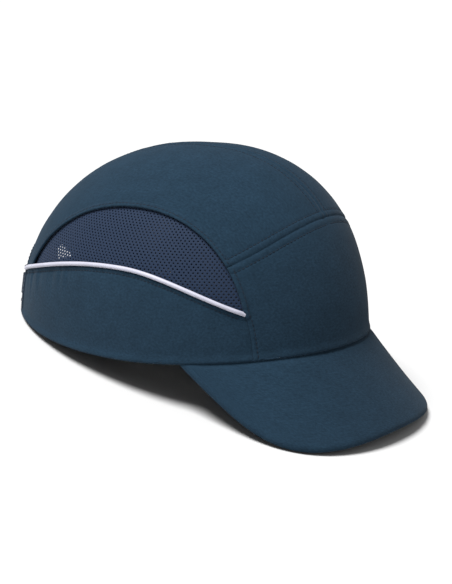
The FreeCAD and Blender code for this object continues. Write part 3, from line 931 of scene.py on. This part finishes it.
def hemmed(grid, height):
    """Middle surface of a panel whose lower edge is folded in and up inside the cap."""
    above = edge_distances(grid)[2]
    outer = skin(grid, FACE_DEPTH - height - HEM_FLARE * np.exp(-((above / 2.6) ** 2)))
    low = FACE_DEPTH - HEM_FLARE
    deep = low + 2 * HEM_RADIUS
    inside_rows = int((above.mean(0) < 8.0).sum())
    inner = skin(grid[:, :inside_rows], deep - 0.3 * height[:, :inside_rows])[:, ::-1]
    base = skin(grid[:, 0], np.full(len(grid), low + HEM_RADIUS))
    normal = outward(base)
    down = unit(grid[:, 0] - grid[:, 8])
    run = np.concatenate([[0], np.cumsum(length_of(np.diff(base, axis=0)))])[:, None]
    base = base + down * 0.12 * np.sin(2 * np.pi * run / STITCH)
    turn = np.radians(np.linspace(180, 0, 9)[1:-1])[:, None]
    fold = base[:, None] + HEM_RADIUS * (normal[:, None] * np.cos(turn) + down[:, None] * np.sin(turn))
    return np.concatenate([inner, fold, outer], 1)


def folded_edge(grid, seam, extra=0.42, width=3.0):
    """Extra half thickness where a panel's edge is turned under along a seam."""
    distance, _ = seam.near(grid)
    return extra * (1 - smooth_step(width, width + 1.2, distance))


def front_panel():
    def left(share):
        return mirrored(front_side_edge(share))

    right_edge = trimmed(front_side_edge, HEM_LIFT)
    left_edge = trimmed(left, HEM_LIFT)
    bottom = raised_rim(FRONT_SEAM_BEARING, -FRONT_SEAM_BEARING)
    grid = panel_grid((bottom, even(whole_cross_seam), right_edge, left_edge), 0.8)
    height = np.zeros(grid.shape[:2])
    rows = ((VERTICAL, FRONT_ROW), (FRONT_EDGE, FRONT_ROW))
    for side, seed in ((grid, 11), (mirrored(grid), 14)):
        height += relief(side, rows, seed, (FRONT_EDGE,))
        height += 1.1 * folded_edge(side, FRONT_EDGE)
    height += relief(grid, ((CROSS, ROW),), 17)
    height *= 0.8
    centre = hemmed(grid, height)
    extra = folded_edge(centre, FRONT_EDGE) + folded_edge(mirrored(centre), FRONT_EDGE)
    half = np.minimum(rounded_all(centre, THICK + extra.max()), THICK + extra)
    return grid, around(centre, half, cloth_uv(centre))


def crown_half(seed):
    def edge(share):
        return mesh_arc(mix(arc_share(JUNCTION_Y), 1, share))

    def bottom(share):
        return chained(share, 0.86, edge, rear_seam)

    def rear(share):
        return arch(mix(ARCH_JUNCTION, 90, np.asarray(share, float)))

    edges = (even(bottom), even(centre_seam), even(cross_seam), even(rear))
    grid = panel_grid(edges, 0.8)
    height = relief(grid, ((CROSS, ROW), (CENTRE, ROW), (CROWN_EDGE, EDGE_ROW)), seed, (CROWN_EDGE,))
    height *= calm_near_arch(grid)
    extra = folded_edge(grid, CROWN_EDGE)
    centre = skin(grid, FACE_DEPTH - height - 1.1 * extra)
    half = np.minimum(rounded_all(centre, THICK + extra.max()), THICK + extra)
    return grid, around(centre, half, cloth_uv(grid))


def side_panel(seed):
    def rear(share):
        return arch(ARCH_JUNCTION * np.asarray(share, float))

    bottom = raised_rim(FRONT_SEAM_BEARING, float(bearing_of(arch(0.0))))
    edges = (bottom, even(piping_path), trimmed(vertical_seam, HEM_LIFT), trimmed(rear, HEM_LIFT))
    grid = panel_grid(edges, 0.75)
    height = relief(grid, ((PIPING, PIPING_ROW), (VERTICAL, 0.0)), seed)
    distance, along = PIPING.near(grid)
    bearing = bearing_of(grid)
    gather = smooth_step(104, 124, bearing) * (1 - smooth_step(146, 156, bearing))
    gather *= np.exp(-((distance / 12) ** 2)) * smooth_step(1.0, 4.5, distance)
    height += 0.7 * gather * (ridges(along, 4.0, seed + 5) - 0.2)
    height *= calm_near_arch(grid)
    centre = hemmed(grid, height)
    return grid, around(centre, rounded_all(centre, THICK), cloth_uv(centre))


# ---------- side mesh
HOLE_PITCH = 2.75
HOLE_ROWS = 1.72
HOLE_RADIUS = 0.43
MESH_DEPTH = 1.45
UNDERLAP = 2.3
WALK_DOWN = 38
WALK_UP = 48


def walked(start, steps, direction):
    """Rows of points a millimetre apart, straight up or down the skin from a first row."""
    rows = [start]
    for _ in range(steps):
        normal = outward(rows[-1])
        climb = unit(np.array([0, 0, 1.0]) - normal * normal[..., 2:3])
        rows.append(skin(rows[-1] + climb * direction))
    return rows


def knit_cloth():
    """Function that lays the flat mesh cloth's millimetres on the skin."""
    base = even(lambda share: at(mix(36, 152, share), 60.0))
    start = base(np.arange(0, base.length, 1.0) / base.length)
    table = np.array(walked(start, WALK_DOWN, -1)[:0:-1] + walked(start, WALK_UP, 1))

    def lay(across, up):
        column = np.clip(across, 0, table.shape[1] - 1.001)
        row = np.clip(up + WALK_DOWN, 0, table.shape[0] - 1.001)
        i, j = row.astype(int), column.astype(int)
        s, t = (row - i)[..., None], (column - j)[..., None]
        low = mix(table[i, j], table[i, j + 1], t)
        high = mix(table[i + 1, j], table[i + 1, j + 1], t)
        return skin(mix(low, high, s))

    return lay, base.length


def in_mesh_window(points, margin):
    """Whether points lie between the piping and the crown's edge, or that far under them."""
    x, y, z = points.T
    inside = (z > piping_z(bearing_of(points)) - margin) & (x < mesh_edge_x(y) + margin)
    return inside & (y > MESH_FRONT_Y - margin) & (y < MESH_REAR_Y + margin)


def side_mesh(seed):
    """Knitted mesh with real holes in a staggered pattern, tucked under the panels round it."""
    lay, width = knit_cloth()
    centres = []
    for row in range(int(-WALK_DOWN / HOLE_ROWS), int(WALK_UP / HOLE_ROWS)):
        across = np.arange(HOLE_PITCH, width, HOLE_PITCH) + (row % 2) * HOLE_PITCH / 2
        centres.append(np.stack([across, np.full(len(across), row * HOLE_ROWS)], -1))
    centres = np.concatenate(centres)
    centres = centres[in_mesh_window(lay(centres[:, 0], centres[:, 1]), UNDERLAP)]
    count = len(centres)
    point_up = (HOLE_ROWS ** 2 + HOLE_PITCH ** 2 / 4) / (2 * HOLE_ROWS)
    point_side = HOLE_ROWS - point_up
    side = HOLE_PITCH / 2
    quarter = np.array([[side, point_side], [side / 2, (point_side + point_up) / 2], [0, point_up]])
    cell = np.concatenate([[[side, 0]], quarter, quarter[1::-1] * [-1, 1], [[-side, 0]]])
    cell = np.concatenate([cell, cell[-2:0:-1] * [1, -1]])
    border = centres[:, None] + cell
    turn = np.radians(np.arange(12) * 30)
    spokes = np.stack([np.cos(turn), np.sin(turn)], -1)
    keys = np.round(border.reshape(-1, 2) * 16).astype(int)
    _, first, border_index = np.unique(keys, axis=0, return_index=True, return_inverse=True)
    border_index = border_index.reshape(count, 12)
    shared = border.reshape(-1, 2)[first]
    jitter = 0.04 * rough(centres, 1.3, seed)[:, None, None]
    flat = [shared, shared]
    lift = [np.full(len(shared), 0.17), np.full(len(shared), -0.17)]
    rings = []
    start = 2 * len(shared)
    for share, height in ((0.45, 0.24), (0.2, 0.17), (0.0, 0.0), (0.2, -0.17), (0.45, -0.24)):
        ring = centres[:, None] + mix(spokes * (HOLE_RADIUS + jitter), cell, share)
        flat.append(ring.reshape(-1, 2))
        lift.append(np.full(count * 12, height))
        rings.append(start + np.arange(count * 12).reshape(count, 12))
        start += count * 12
    rings = [border_index, *rings, border_index + len(shared)]
    faces = []
    for outer, inner in zip(rings[:-1], rings[1:]):
        corners = (outer, np.roll(outer, -1, 1), np.roll(inner, -1, 1), inner)
        faces.append(np.stack(corners, -1).reshape(-1, 4))
    edges = np.stack([border_index, np.roll(border_index, -1, 1)], -1).reshape(-1, 2)
    _, owner, uses = np.unique(np.sort(edges, 1), axis=0, return_inverse=True, return_counts=True)
    open_edges = edges[uses[owner.ravel()] == 1]
    below = open_edges + len(shared)
    faces.append(np.stack([open_edges[:, 1], open_edges[:, 0], below[:, 0], below[:, 1]], -1))
    flat = np.concatenate(flat)
    points = lay(flat[:, 0], flat[:, 1])
    wave = 0.22 * rough(points, 24, seed + 1)
    points = skin(points, MESH_DEPTH - np.concatenate(lift) - wave)
    return points, np.concatenate(faces)[:, ::-1], flat


# ---------- trims
def piping():
    """Round piping that stands in the seam below the mesh."""
    along = np.arange(-3.0, PIPING.length - 1.2, 0.6)
    base = PIPING.beside(np.maximum(along, 0), 0.15 + 0 * along)
    base = skin(base + PIPING.tangents[0] * np.minimum(along, 0)[:, None])
    rear = along[-1] - along
    swell = 1 - 0.55 * (1 - smooth_step(0, 3.5, rear))
    radius = PIPING_RADIUS * swell * (1 + 0.02 * ridges(along, 9.0, 3))
    lift = 0.66 - 1.1 * (1 - smooth_step(0, 3.5, rear)) + 0.06 * ridges(along, 14.0, 5)
    lift = lift - 1.25 * (1 - smooth_step(-1.0, 5.0, along)) - 0.5 * (1 - smooth_step(-3.0, 0.0, along))
    path = base + outward(base) * lift[:, None]
    return tubes(path[None], outward(base)[None], radius[None], 20)


def along_seam(seam, start, end, step, offsets, depths):
    """Grid of points along a seam, with a depth at each offset to its side."""
    along = np.arange(start, end, step)
    grid = seam.beside(along[:, None] + 0 * offsets, offsets + 0 * along[:, None])
    return skin(grid, depths + 0 * along[:, None])


def arch_tape():
    """Tape folded over the edge of the rear opening."""
    flap = np.array([5.8, 5.75, 5.6, 5.3, 4.9, 4.4, 3.8, 3.2, 2.6, 2.0, 1.4, 0.8, 0.3])
    turn = np.radians(np.linspace(0, 180, 11))
    sag = -0.28 + 0.10 * bump(flap, 4.4, 0.5)
    offsets = np.concatenate([flap, -0.1 - 0.75 * np.sin(turn), flap[::-1]])
    depths = np.concatenate([sag, 0.42 - 0.72 * np.cos(turn), 0 * flap + 1.16])
    grid = along_seam(ARCH, 0.3, ARCH.length - 0.3, 0.7, offsets, depths)
    near = np.minimum(edge_distances(grid)[0], edge_distances(grid)[1])
    grid = grid + outward(grid) * (0.05 * rough(grid, 4.0, 61) * smooth_step(0, 3, near))[..., None]
    return even_sheet(grid, 0.25)


def seam_tape(seam, start, end, depth=1.5):
    offsets = np.array([-8, -7.9, -7.6, -6.5, -4.5, -2, 0, 2, 4.5, 6.5, 7.6, 7.9, 8.0])
    grid = along_seam(seam, start, seam.length - end, 1.0, offsets, depth + 0 * offsets)
    return even_sheet(grid, 0.22)


# ---------- peak
COVER_GAP = 0.3
EDGE_RADIUS = PEAK_THICKNESS / 2
PEAK_COVER = 0.34
HORN = 0.06


def peak_height(x, y):
    ahead = -y - FRONT_LENGTH
    fall = PEAK_SLOPE * ahead + PEAK_SAG * ahead * np.abs(ahead)
    arching = x * x / (2 * PEAK_ARCH_RADIUS) * (1 - PEAK_ARCH_OPENING * ahead)
    return rim_z(0.0) - COVER_GAP - fall - arching + PEAK_SIDE_LIFT * (x / 80) ** 4


def peak_point(across, ahead, depth, inset=0.0):
    """Point of the peak: across runs from -1 to 1, ahead from 0 at the cap to 1 at the edge."""
    across, ahead, depth, inset = np.broadcast_arrays(across, ahead, depth, inset)
    tail = 0.88 * np.sin(np.clip((np.abs(across) - 1) / HORN, 0, 1) * np.pi / 2)[..., None]
    sign = np.sign(across)
    across = np.clip(across, -1.0, 1.0)
    root = at(PEAK_END_BEARING * across, 0.0, np.full(across.shape, -COVER_GAP))
    side = power(np.abs(sin(90 * across)), 2 / PEAK_SIDE_SQUARENESS)
    nose = power(np.abs(cos(90 * across)), 2 / PEAK_FRONT_SQUARENESS)
    end_y = -FRONT_LENGTH * cos(PEAK_END_BEARING)
    edge_x = -np.sign(across) * (PEAK_HALF_WIDTH - inset) * side
    edge_y = end_y + (PEAK_TIP_Y + inset - end_y) * nose
    x = mix(root[..., 0], edge_x, ahead)
    y = mix(root[..., 1], edge_y, ahead)
    step = 0.1
    slope_x = (peak_height(x + step, y) - peak_height(x - step, y)) / (2 * step)
    slope_y = (peak_height(x, y + step) - peak_height(x, y - step)) / (2 * step)
    normal = unit(vec(-slope_x, -slope_y, 1.0))
    point = vec(x, y, peak_height(x, y)) - normal * depth[..., None]
    tip_bearing = PEAK_END_BEARING + 4.5
    tip = at(tip_bearing * sign, rim_z(tip_bearing) + 2.6, np.full(sign.shape, 2.4))
    return mix(point, tip, tail)


def peak_across():
    end = 1 + HORN
    fine = np.array([0, 0.0004, 0.0012, 0.0026, 0.005, 0.009])
    horn = np.linspace(end - 0.014, 1.0, 8)
    middle = np.linspace(-0.993, 0.993, 300)
    return np.concatenate([fine - end, -horn, middle, horn[::-1], end - fine[::-1]])[:, None]


def peak_top():
    """Upper cover: over the top, round the edge and a little way back underneath."""
    across = peak_across()
    ahead = np.concatenate([np.linspace(-0.035, 0.2, 20), np.linspace(0.2, 1, 36)[1:]])[None]
    top = peak_point(across, ahead, PEAK_COVER, EDGE_RADIUS)
    root = peak_point(across, 0.0, PEAK_COVER, EDGE_RADIUS)
    sunk = 0.55 * np.exp(-((length_of(top - root) / 2.6) ** 2))
    top = peak_point(across, ahead, PEAK_COVER + sunk, EDGE_RADIUS)
    height = 0.10 * rough(top, 26, 71) + 0.03 * rough(top, 8, 72)
    top = top + vec(0, -0.3, 1) * height[..., None]
    last = top[:, -1]
    under = peak_point(across[:, 0], 1.0, PEAK_THICKNESS - PEAK_COVER, EDGE_RADIUS)
    upper_edge = peak_point(across[:, 0], 1.0, PEAK_COVER)
    lower_edge = peak_point(across[:, 0], 1.0, PEAK_THICKNESS - PEAK_COVER)
    edge = (upper_edge + lower_edge) / 2
    middle = (last + under) / 2
    turn = np.radians(np.linspace(0, 180, 15)[1:-1])[:, None]
    rise = (last - middle)[:, None]
    out = (edge - middle)[:, None]
    bead = 1 + 0.10 * np.sin(turn) ** 6
    wrap = middle[:, None] + rise * np.cos(turn) + out * np.sin(turn) * bead * (1 - PEAK_COVER / EDGE_RADIUS)
    inset = EDGE_RADIUS + np.linspace(0, 5.0, 9)[None]
    back = peak_point(across, 1.0, PEAK_THICKNESS - PEAK_COVER, inset)
    grid = np.concatenate([top, wrap, back], 1)
    return even_sheet(grid, PEAK_COVER)


def peak_under():
    """Lower cover, from inside the cap down over the hem seam to its own folded edge."""
    across = peak_across()
    climb = np.array([8.0, 6.5, 5.0, 3.5, 2.0, 0.6])[None]
    bearing = PEAK_END_BEARING * across
    inside = at(bearing, rim_z(bearing) + climb, 2.55 + 0 * climb + 0 * bearing)
    inset = 3.4
    ahead = np.array([*np.linspace(0.03, 0.94, 34), 0.96, 0.98, 0.99, 1.0])[None]
    below = peak_point(across, ahead, PEAK_THICKNESS - 0.28, inset)
    height = 0.08 * rough(below, 24, 81)
    below = below + vec(0, 0.3, -1) * height[..., None]
    grid = np.concatenate([inside, below], 1)
    return even_sheet(grid, 0.36)


# ---------- sweatband, pads and label
def band_depth(bearing):
    share = smooth_step(100, 124, np.abs(bearing))
    return mix(4.6, 8.0, share)


BAND_REACH = float(bearing_of(arch(0.0))) - 1
BAND_THICKNESS = 2.5


def band_top(bearing):
    return np.minimum(rim_z(bearing) + 30, 29.0)


def sweatband():
    """Towelling band, sewn to the hem at the bottom and free at its rolled upper edge."""
    length = 560.0
    bearing = (measured_shares([length], 420)[:, 0] * 2 - 1)[:, None] * BAND_REACH
    deep = band_depth(bearing) + BAND_THICKNESS / 2
    low, high = rim_z(bearing) + 1.2, band_top(bearing) - 0.05
    foot = np.array([[2.7, 0.0], [2.72, 0.03], [2.8, 0.12], [3.0, 0.3], [3.5, 0.75], [4.2, 1.3]])
    z = [low + step for _, step in foot]
    depth = [np.minimum(start, deep) + 0 * bearing for start, _ in foot]
    rolled = [0.93, 0.955, 0.975, 0.988, 0.996, 1.0]
    climb = np.concatenate([np.linspace(0.08, 0.9, 34), rolled])
    z += [mix(low, high, share) for share in climb]
    depth += [mix(4.6, deep, float(smooth_step(0.0, 0.2, share))) for share in climb]
    z, depth = np.concatenate(z, 1), np.concatenate(depth, 1)
    grid = at(bearing + 0 * z, z, depth)
    wave = 0.25 * rough(grid, 22, 91) + 0.12 * rough(grid, 7, 92)
    up = (z - low) / (high - low)
    swell = mix(0.55, 1.0, smooth_step(0.05, 0.35, up))
    swell = swell * (1 - 0.22 * bump(up, 0.86, 0.035))
    grid = grid - outward(grid) * (wave * smooth_step(0, 0.3, up))[..., None]
    half = np.minimum(rounded_all(grid, BAND_THICKNESS / 2), swell * BAND_THICKNESS / 2)
    return around(grid, half, cloth_uv(grid))


PAD_HALF = 2.45
PAD_DEPTH = 4.35 + PAD_HALF


def pad(bearings, heights, width, height, grooves, seed):
    """Foam pad between two bearings and two heights, with rolled edges and pressed grooves."""
    u, v = np.meshgrid(measured_shares([width], int(width))[:, 0],
                       measured_shares([height], max(int(height), 4))[:, 0], indexing="ij")
    grid = at(mix(*bearings, u), mix(*heights, v))
    half = rounded_all(grid, PAD_HALF)
    for groove in grooves:
        half = half - 0.8 * bump(u * width, groove * width, 1.3) * smooth_step(0, 1.5, half)
    half = half + 0.05 * rough(grid, 9, seed) * smooth_step(1.5, 2.4, half)
    return around(skin(grid, PAD_DEPTH), half, cloth_uv(grid))


def crown_pad():
    """Long foam pad over the top of the head, with a round hole under the shell's vent."""
    turn = np.linspace(-180, 180, 721)
    x = 29.8 * np.sign(cos(turn)) * np.abs(cos(turn)) ** 0.4
    y = 7 + 54.8 * np.sign(sin(turn)) * np.abs(sin(turn)) ** 0.4
    heading = np.unwrap(np.arctan2(y, x))
    angle = np.arange(0, 360, 1.5)[:, None]
    wrapped = np.radians((angle + 180) % 360 - 180)
    wrapped = np.where(wrapped < heading[0], wrapped + 2 * np.pi, wrapped)
    outer_x = np.interp(wrapped, heading, x)
    outer_y = np.interp(wrapped, heading, y)
    share = measured_shares([32.0], 30)[:, 0][None]
    grid = over(mix(13.1 * cos(angle), outer_x, share), mix(13.1 * sin(angle), outer_y, share))
    half = rounded(np.minimum(*edge_distances(grid)[2:]), PAD_HALF)
    ring = length_of(grid[..., :2])
    half = half - 0.8 * bump(ring, 20.0, 1.3) * smooth_step(0, 1.5, half)
    return around(skin(grid, PAD_DEPTH), half, cloth_uv(grid), wrap=True)


def label():
    """Blank woven label that hangs from the sweatband's upper edge."""
    u, v = np.meshgrid(np.linspace(0, 1, 40), np.linspace(0, 1, 40), indexing="ij")
    bearing = mix(-140.0, -126.0, u)
    curl = 1.6 * (1 - v) ** 2 + 0.25 * np.sin(2.6 * np.pi * u + 0.5) * (1 - v)
    grid = at(bearing, mix(12.0, 30.0, v), 10.95 + curl)
    return even_sheet(grid, 0.16)


# ---------- adjuster
BUCKLE_BEARING = -18.0
BAR_X = -10.0
BAR_Y = 3.0
BAR_RADIUS = 1.3
TAB_THICKNESS = 0.8
TAB_HALF_WIDTH = 6.5


def webbing_rows(half_width, inner, count):
    """Places across webbing: fine at both selvedges, even in between."""
    edge = np.array([0, 0.05, 0.16, 0.35, 0.6, 0.9, 1.3])
    middle = np.linspace(-inner, inner, count)
    return np.concatenate([edge - half_width, middle, half_width - edge[::-1]])


def ribbed(half, along, across, half_width):
    """Half thickness of webbing: ribs across it, and a plain rolled selvedge at both sides."""
    inner = smooth_step(0.8, 1.8, half_width - np.abs(across))
    ribs = 0.13 * np.abs(np.sin(np.pi * along / 1.35)) - 0.11
    cord = 0.03 * np.cos(2 * np.pi * across / 2.2)
    return half + inner * (ribs + cord)


def strap():
    span = math.radians(STRAP_LEFT_END - STRAP_RIGHT_END) * STRAP_RADIUS
    end = np.array([0, 0.0002, 0.0006, 0.0014])
    share = np.concatenate([end, np.linspace(0.003, 0.997, 620), 1 - end[::-1]])
    bearing = mix(STRAP_LEFT_END, STRAP_RIGHT_END, share)[:, None]
    reach_out = STRAP_WIDTH / 2
    across = webbing_rows(reach_out, 7.2, 19)[None]
    z = STRAP_MID_Z + across
    radius = STRAP_RADIUS - STRAP_TAPER * across
    grid = vec(radius * sin(bearing), STRAP_AXIS_Y + radius * cos(bearing), z + 0 * bearing)
    half = np.minimum(rounded_all(grid, STRAP_THICKNESS / 2),
                      ribbed(STRAP_THICKNESS / 2, share[:, None] * span, across, reach_out))
    return grid, around(grid, half, cloth_uv(grid))


def buckle_axes():
    """Middle of the buckle, and its directions along the strap, outward and up."""
    out = vec(sin(BUCKLE_BEARING), cos(BUCKLE_BEARING), 0)
    tilt = math.atan(STRAP_TAPER)
    up = np.array([0, 0, math.cos(tilt)]) - out * math.sin(tilt)
    face = out * math.cos(tilt) + np.array([0, 0, math.sin(tilt)])
    middle = np.array([0, STRAP_AXIS_Y, STRAP_MID_Z]) + out * STRAP_RADIUS
    return middle, np.cross(face, up), face, up


def tab():
    """Webbing loop that holds the buckle: round its bar, then inside the side panel."""
    middle, along, face, up = buckle_axes()
    loop = BAR_RADIUS + 0.3 + TAB_THICKNESS / 2
    bar = middle + along * BAR_X + face * BAR_Y
    turn = np.linspace(20, 290, 41)[:, None]
    line = list(bar - along * loop * cos(turn) + face * loop * sin(turn))
    sewn = []
    for x in (-44, -48, -51):
        inside = facing(x, STRAP_MID_Z, REAR_LENGTH)
        sewn.append(inside - outward(inside) * (1.2 + 0.5 + TAB_THICKNESS / 2))
    straight = [mix(line[-1], sewn[0], share) for share in np.linspace(0, 1, 20)[1:-1]]
    curve = [mix(sewn[k], sewn[k + 1], share) for k in (0, 1) for share in np.linspace(0, 1, 14)[:-1]]
    line = np.array([*line, *straight, *curve, sewn[2]])
    line = line - up * ((line - bar) @ up)[:, None]
    places = np.linspace(0, 1, len(line))
    path = even(lambda share: blended(share, places, line))(np.linspace(0, 1, 180))
    for _ in range(3):
        path[1:-1] = (path[:-2] + 2 * path[1:-1] + path[2:]) / 4
    across = webbing_rows(TAB_HALF_WIDTH, 4.9, 13)
    grid = path[:, None] + up * across[:, None]
    thick = TAB_THICKNESS / 2 - 0.02
    ribs = ribbed(thick, edge_distances(grid)[0], across[None], TAB_HALF_WIDTH)
    half = np.minimum(rounded_all(grid, thick), ribs)
    return grid, around(grid, half, cloth_uv(grid))


# ---------- putting the cap together
def build_cover():
    """Front panel, and on each side the crown half, side panel, mesh, piping and stitches."""
    front = cloth("front_panel_cloth", front_panel(), "cover", "front_panel")
    half_cross = Seam(cross_seam)
    for side, seed in (("right", 21), ("left", 41)):
        flip = mirror_mesh if side == "left" else None
        crown = cloth("crown_cloth_" + side, crown_half(seed), "cover",
                      "crown_half_" + side, flip)
        lower = cloth("side_cloth_" + side, side_panel(seed + 6), "cover",
                      "side_panel_" + side, flip)
        knit_mesh, cord = side_mesh(seed + 9), piping()
        if flip:
            knit_mesh, cord = flip(*knit_mesh), flip(*cord)
        item = piece("mesh_cloth_" + side, knit_mesh, "mesh", replaces=["side_mesh_" + side])
        piece("piping_cord_" + side, cord, "piping", replaces=["piping_" + side])
        tree = tree_of(flip(*front) if flip else front, crown, lower)
        rows = {
            "cross": joined(stitch_row(half_cross, ROW, tree), stitch_row(half_cross, -ROW, tree)),
            "centre": stitch_row(CENTRE, -ROW, tree, start=5.0, end=7.0),
            "crown_edge": stitch_row(CROWN_EDGE, EDGE_ROW, tree, start=1.0),
            "front_edge": joined(stitch_row(FRONT_EDGE, FRONT_ROW, tree, start=0.5),
                                 stitch_row(VERTICAL, FRONT_ROW, tree, start=1.5, end=0.5)),
            "piping": stitch_row(PIPING, -PIPING_ROW, tree, end=7.0),
        }
        for name, row in rows.items():
            piece("stitches_" + name + "_" + side, flip(*row) if flip else row, "thread")


def build_trims():
    """The arch's tape with its stitches, and the tapes over the inner side of two seams."""
    tape_mesh = cloth("arch_tape", arch_tape(), "tape", "arch_binding")
    rows = stitch_row(ARCH, ROW, tree_of(tape_mesh), start=3.0, end=3.0)
    piece("stitches_arch", rows, "thread")
    for name, seam, start, end in (("centre", CENTRE, 16.0, 5.0), ("cross", CROSS, 7.0, 7.0)):
        cloth(name + "_tape", seam_tape(seam, start, end), "tape",
              name + "_seam_tape")


def build_peak():
    for name, built in (("top", peak_top()), ("under", peak_under())):
        cloth("peak_" + name + "_cloth", built, "cover", "peak_" + name + "_cover")


def band_seam(height_at):
    """Line round the sweatband, at a height that depends on the bearing."""
    def line(share):
        bearing = mix(-BAND_REACH, BAND_REACH, share)
        return at(bearing, height_at(bearing))

    return Seam(line)


def build_inside():
    """Sweatband with its stitches, foam pads and label."""
    band = sweatband()
    item = piece("sweatband_towelling", band, "towelling", replaces=["sweatband"])
    tree = tree_of(band)
    top = band_seam(lambda bearing: band_top(bearing) - 3.2)
    low = band_seam(lambda bearing: rim_z(bearing) + 3.0)
    rows = joined(*[stitch_row(seam, 0.0, tree, face=-1.0) for seam in (top, low)])
    piece("stitches_sweatband", rows, "dark_thread")
    side = ((50.0, 118.0), (30.0, 41.0), 110, 11, (0.25, 0.5, 0.75))
    pads = {
        "front": pad((34.0, -34.0), (41.0, 74.0), 108, 34, (0.34, 0.66), 101),
        "side_right": pad(*side, 103),
        "side_left": mirror_mesh(*pad(*side, 105)),
        "rear": pad((152.0, 208.0), (56.0, 84.0), 92, 30, (0.33, 0.67), 107),
        "crown": crown_pad(),
    }
    for name, mesh in pads.items():
        item = piece("pad_" + name, mesh, "foam", replaces=["foam_" + name])
    cloth("blank_label", label(), "label", "inner_label")


def build_adjuster():
    cloth("strap_webbing", strap(), "webbing", "adjuster_strap",
          body="strap")
    cloth("tab_webbing", tab(), "webbing", "buckle_tab")


def dress_cad():
    """Materials and softened edges for the hard parts that come from the frame as they are."""
    looks = {"hard_shell": ("shell", 0.45), "peak_board": ("board", 0.3), "strap_end_tip": ("buckle", 0.25),
             "buckle_frame": ("buckle", 0.3), "buckle_lever": ("buckle", 0.25), "buckle_pin": ("pin", 0.15)}
    for node, (look, width) in looks.items():
        item = bpy.data.objects[node]
        item.data.materials.clear()
        item.data.materials.append(LOOKS[look])
        edges = item.modifiers.new("soft_edges", "BEVEL")
        edges.width = width * MM
        edges.segments = 3
        edges.limit_method = "ANGLE"
        edges.angle_limit = math.radians(40)
        edges.harden_normals = False


# ---------- floor, light and camera
def floor():
    data = bpy.data.meshes.new("floor")
    size = 40.0
    corners = [(-size, -size, 0), (size, -size, 0), (size, size, 0), (-size, size, 0)]
    data.from_pydata(corners, [], [(0, 1, 2, 3)])
    look = Look("floor_paint", (0.62, 0.62, 0.62, 1.0), 0.8)
    look.vary(look.noise(3.0, 2.0, "object"), 0.995, 1.005)
    data.materials.append(look.material)
    item = bpy.data.objects.new("floor", data)
    bpy.context.scene.collection.objects.link(item)


def light_up():
    world = bpy.data.worlds.new("studio")
    bpy.context.scene.world = world
    world.use_nodes = True
    sky = world.node_tree.nodes["Background"]
    sky.inputs["Color"].default_value = (1.0, 1.0, 1.0, 1.0)
    sky.inputs["Strength"].default_value = 0.27
    bpy.context.scene.view_settings.view_transform = "Standard"
    suns = (("key", 5.2, 30, (0.34, -0.31, -0.90)), ("fill", 0.12, 60, (-0.6, 0.5, -0.6)))
    for name, energy, softness, toward in suns:
        data = bpy.data.lights.new(name, "SUN")
        data.energy = energy
        data.angle = math.radians(softness)
        item = bpy.data.objects.new(name, data)
        item.rotation_mode = "QUATERNION"
        item.rotation_quaternion = Vector(toward).to_track_quat("-Z", "Y")
        bpy.context.scene.collection.objects.link(item)


CAMERA_TURN = 57.0
CAMERA_RISE = 13.457
CAMERA_DISTANCE = 1500.0


def camera():
    turn, rise = math.radians(CAMERA_TURN), math.radians(CAMERA_RISE)
    back = np.array([-math.sin(turn) * math.cos(rise), -math.cos(turn) * math.cos(rise), math.sin(rise)])
    right = np.array([math.cos(turn), -math.sin(turn), 0])
    up = np.cross(right, -back)
    axes = [Vector(tipped(axis)) for axis in (right, up, back)]
    data = bpy.data.cameras.new("camera")
    data.lens = 150.3
    data.sensor_width = 36.0
    data.shift_x = 0.0315
    data.shift_y = 0.0688
    item = bpy.data.objects.new("camera", data)
    where = Matrix.Translation(Vector(place(back * CAMERA_DISTANCE)))
    item.matrix_world = where @ Matrix(axes).transposed().to_4x4()
    bpy.context.scene.collection.objects.link(item)
    bpy.context.scene.camera = item


build_cover()
build_trims()
build_peak()
build_inside()
build_adjuster()
dress_cad()
floor()
light_up()
camera()
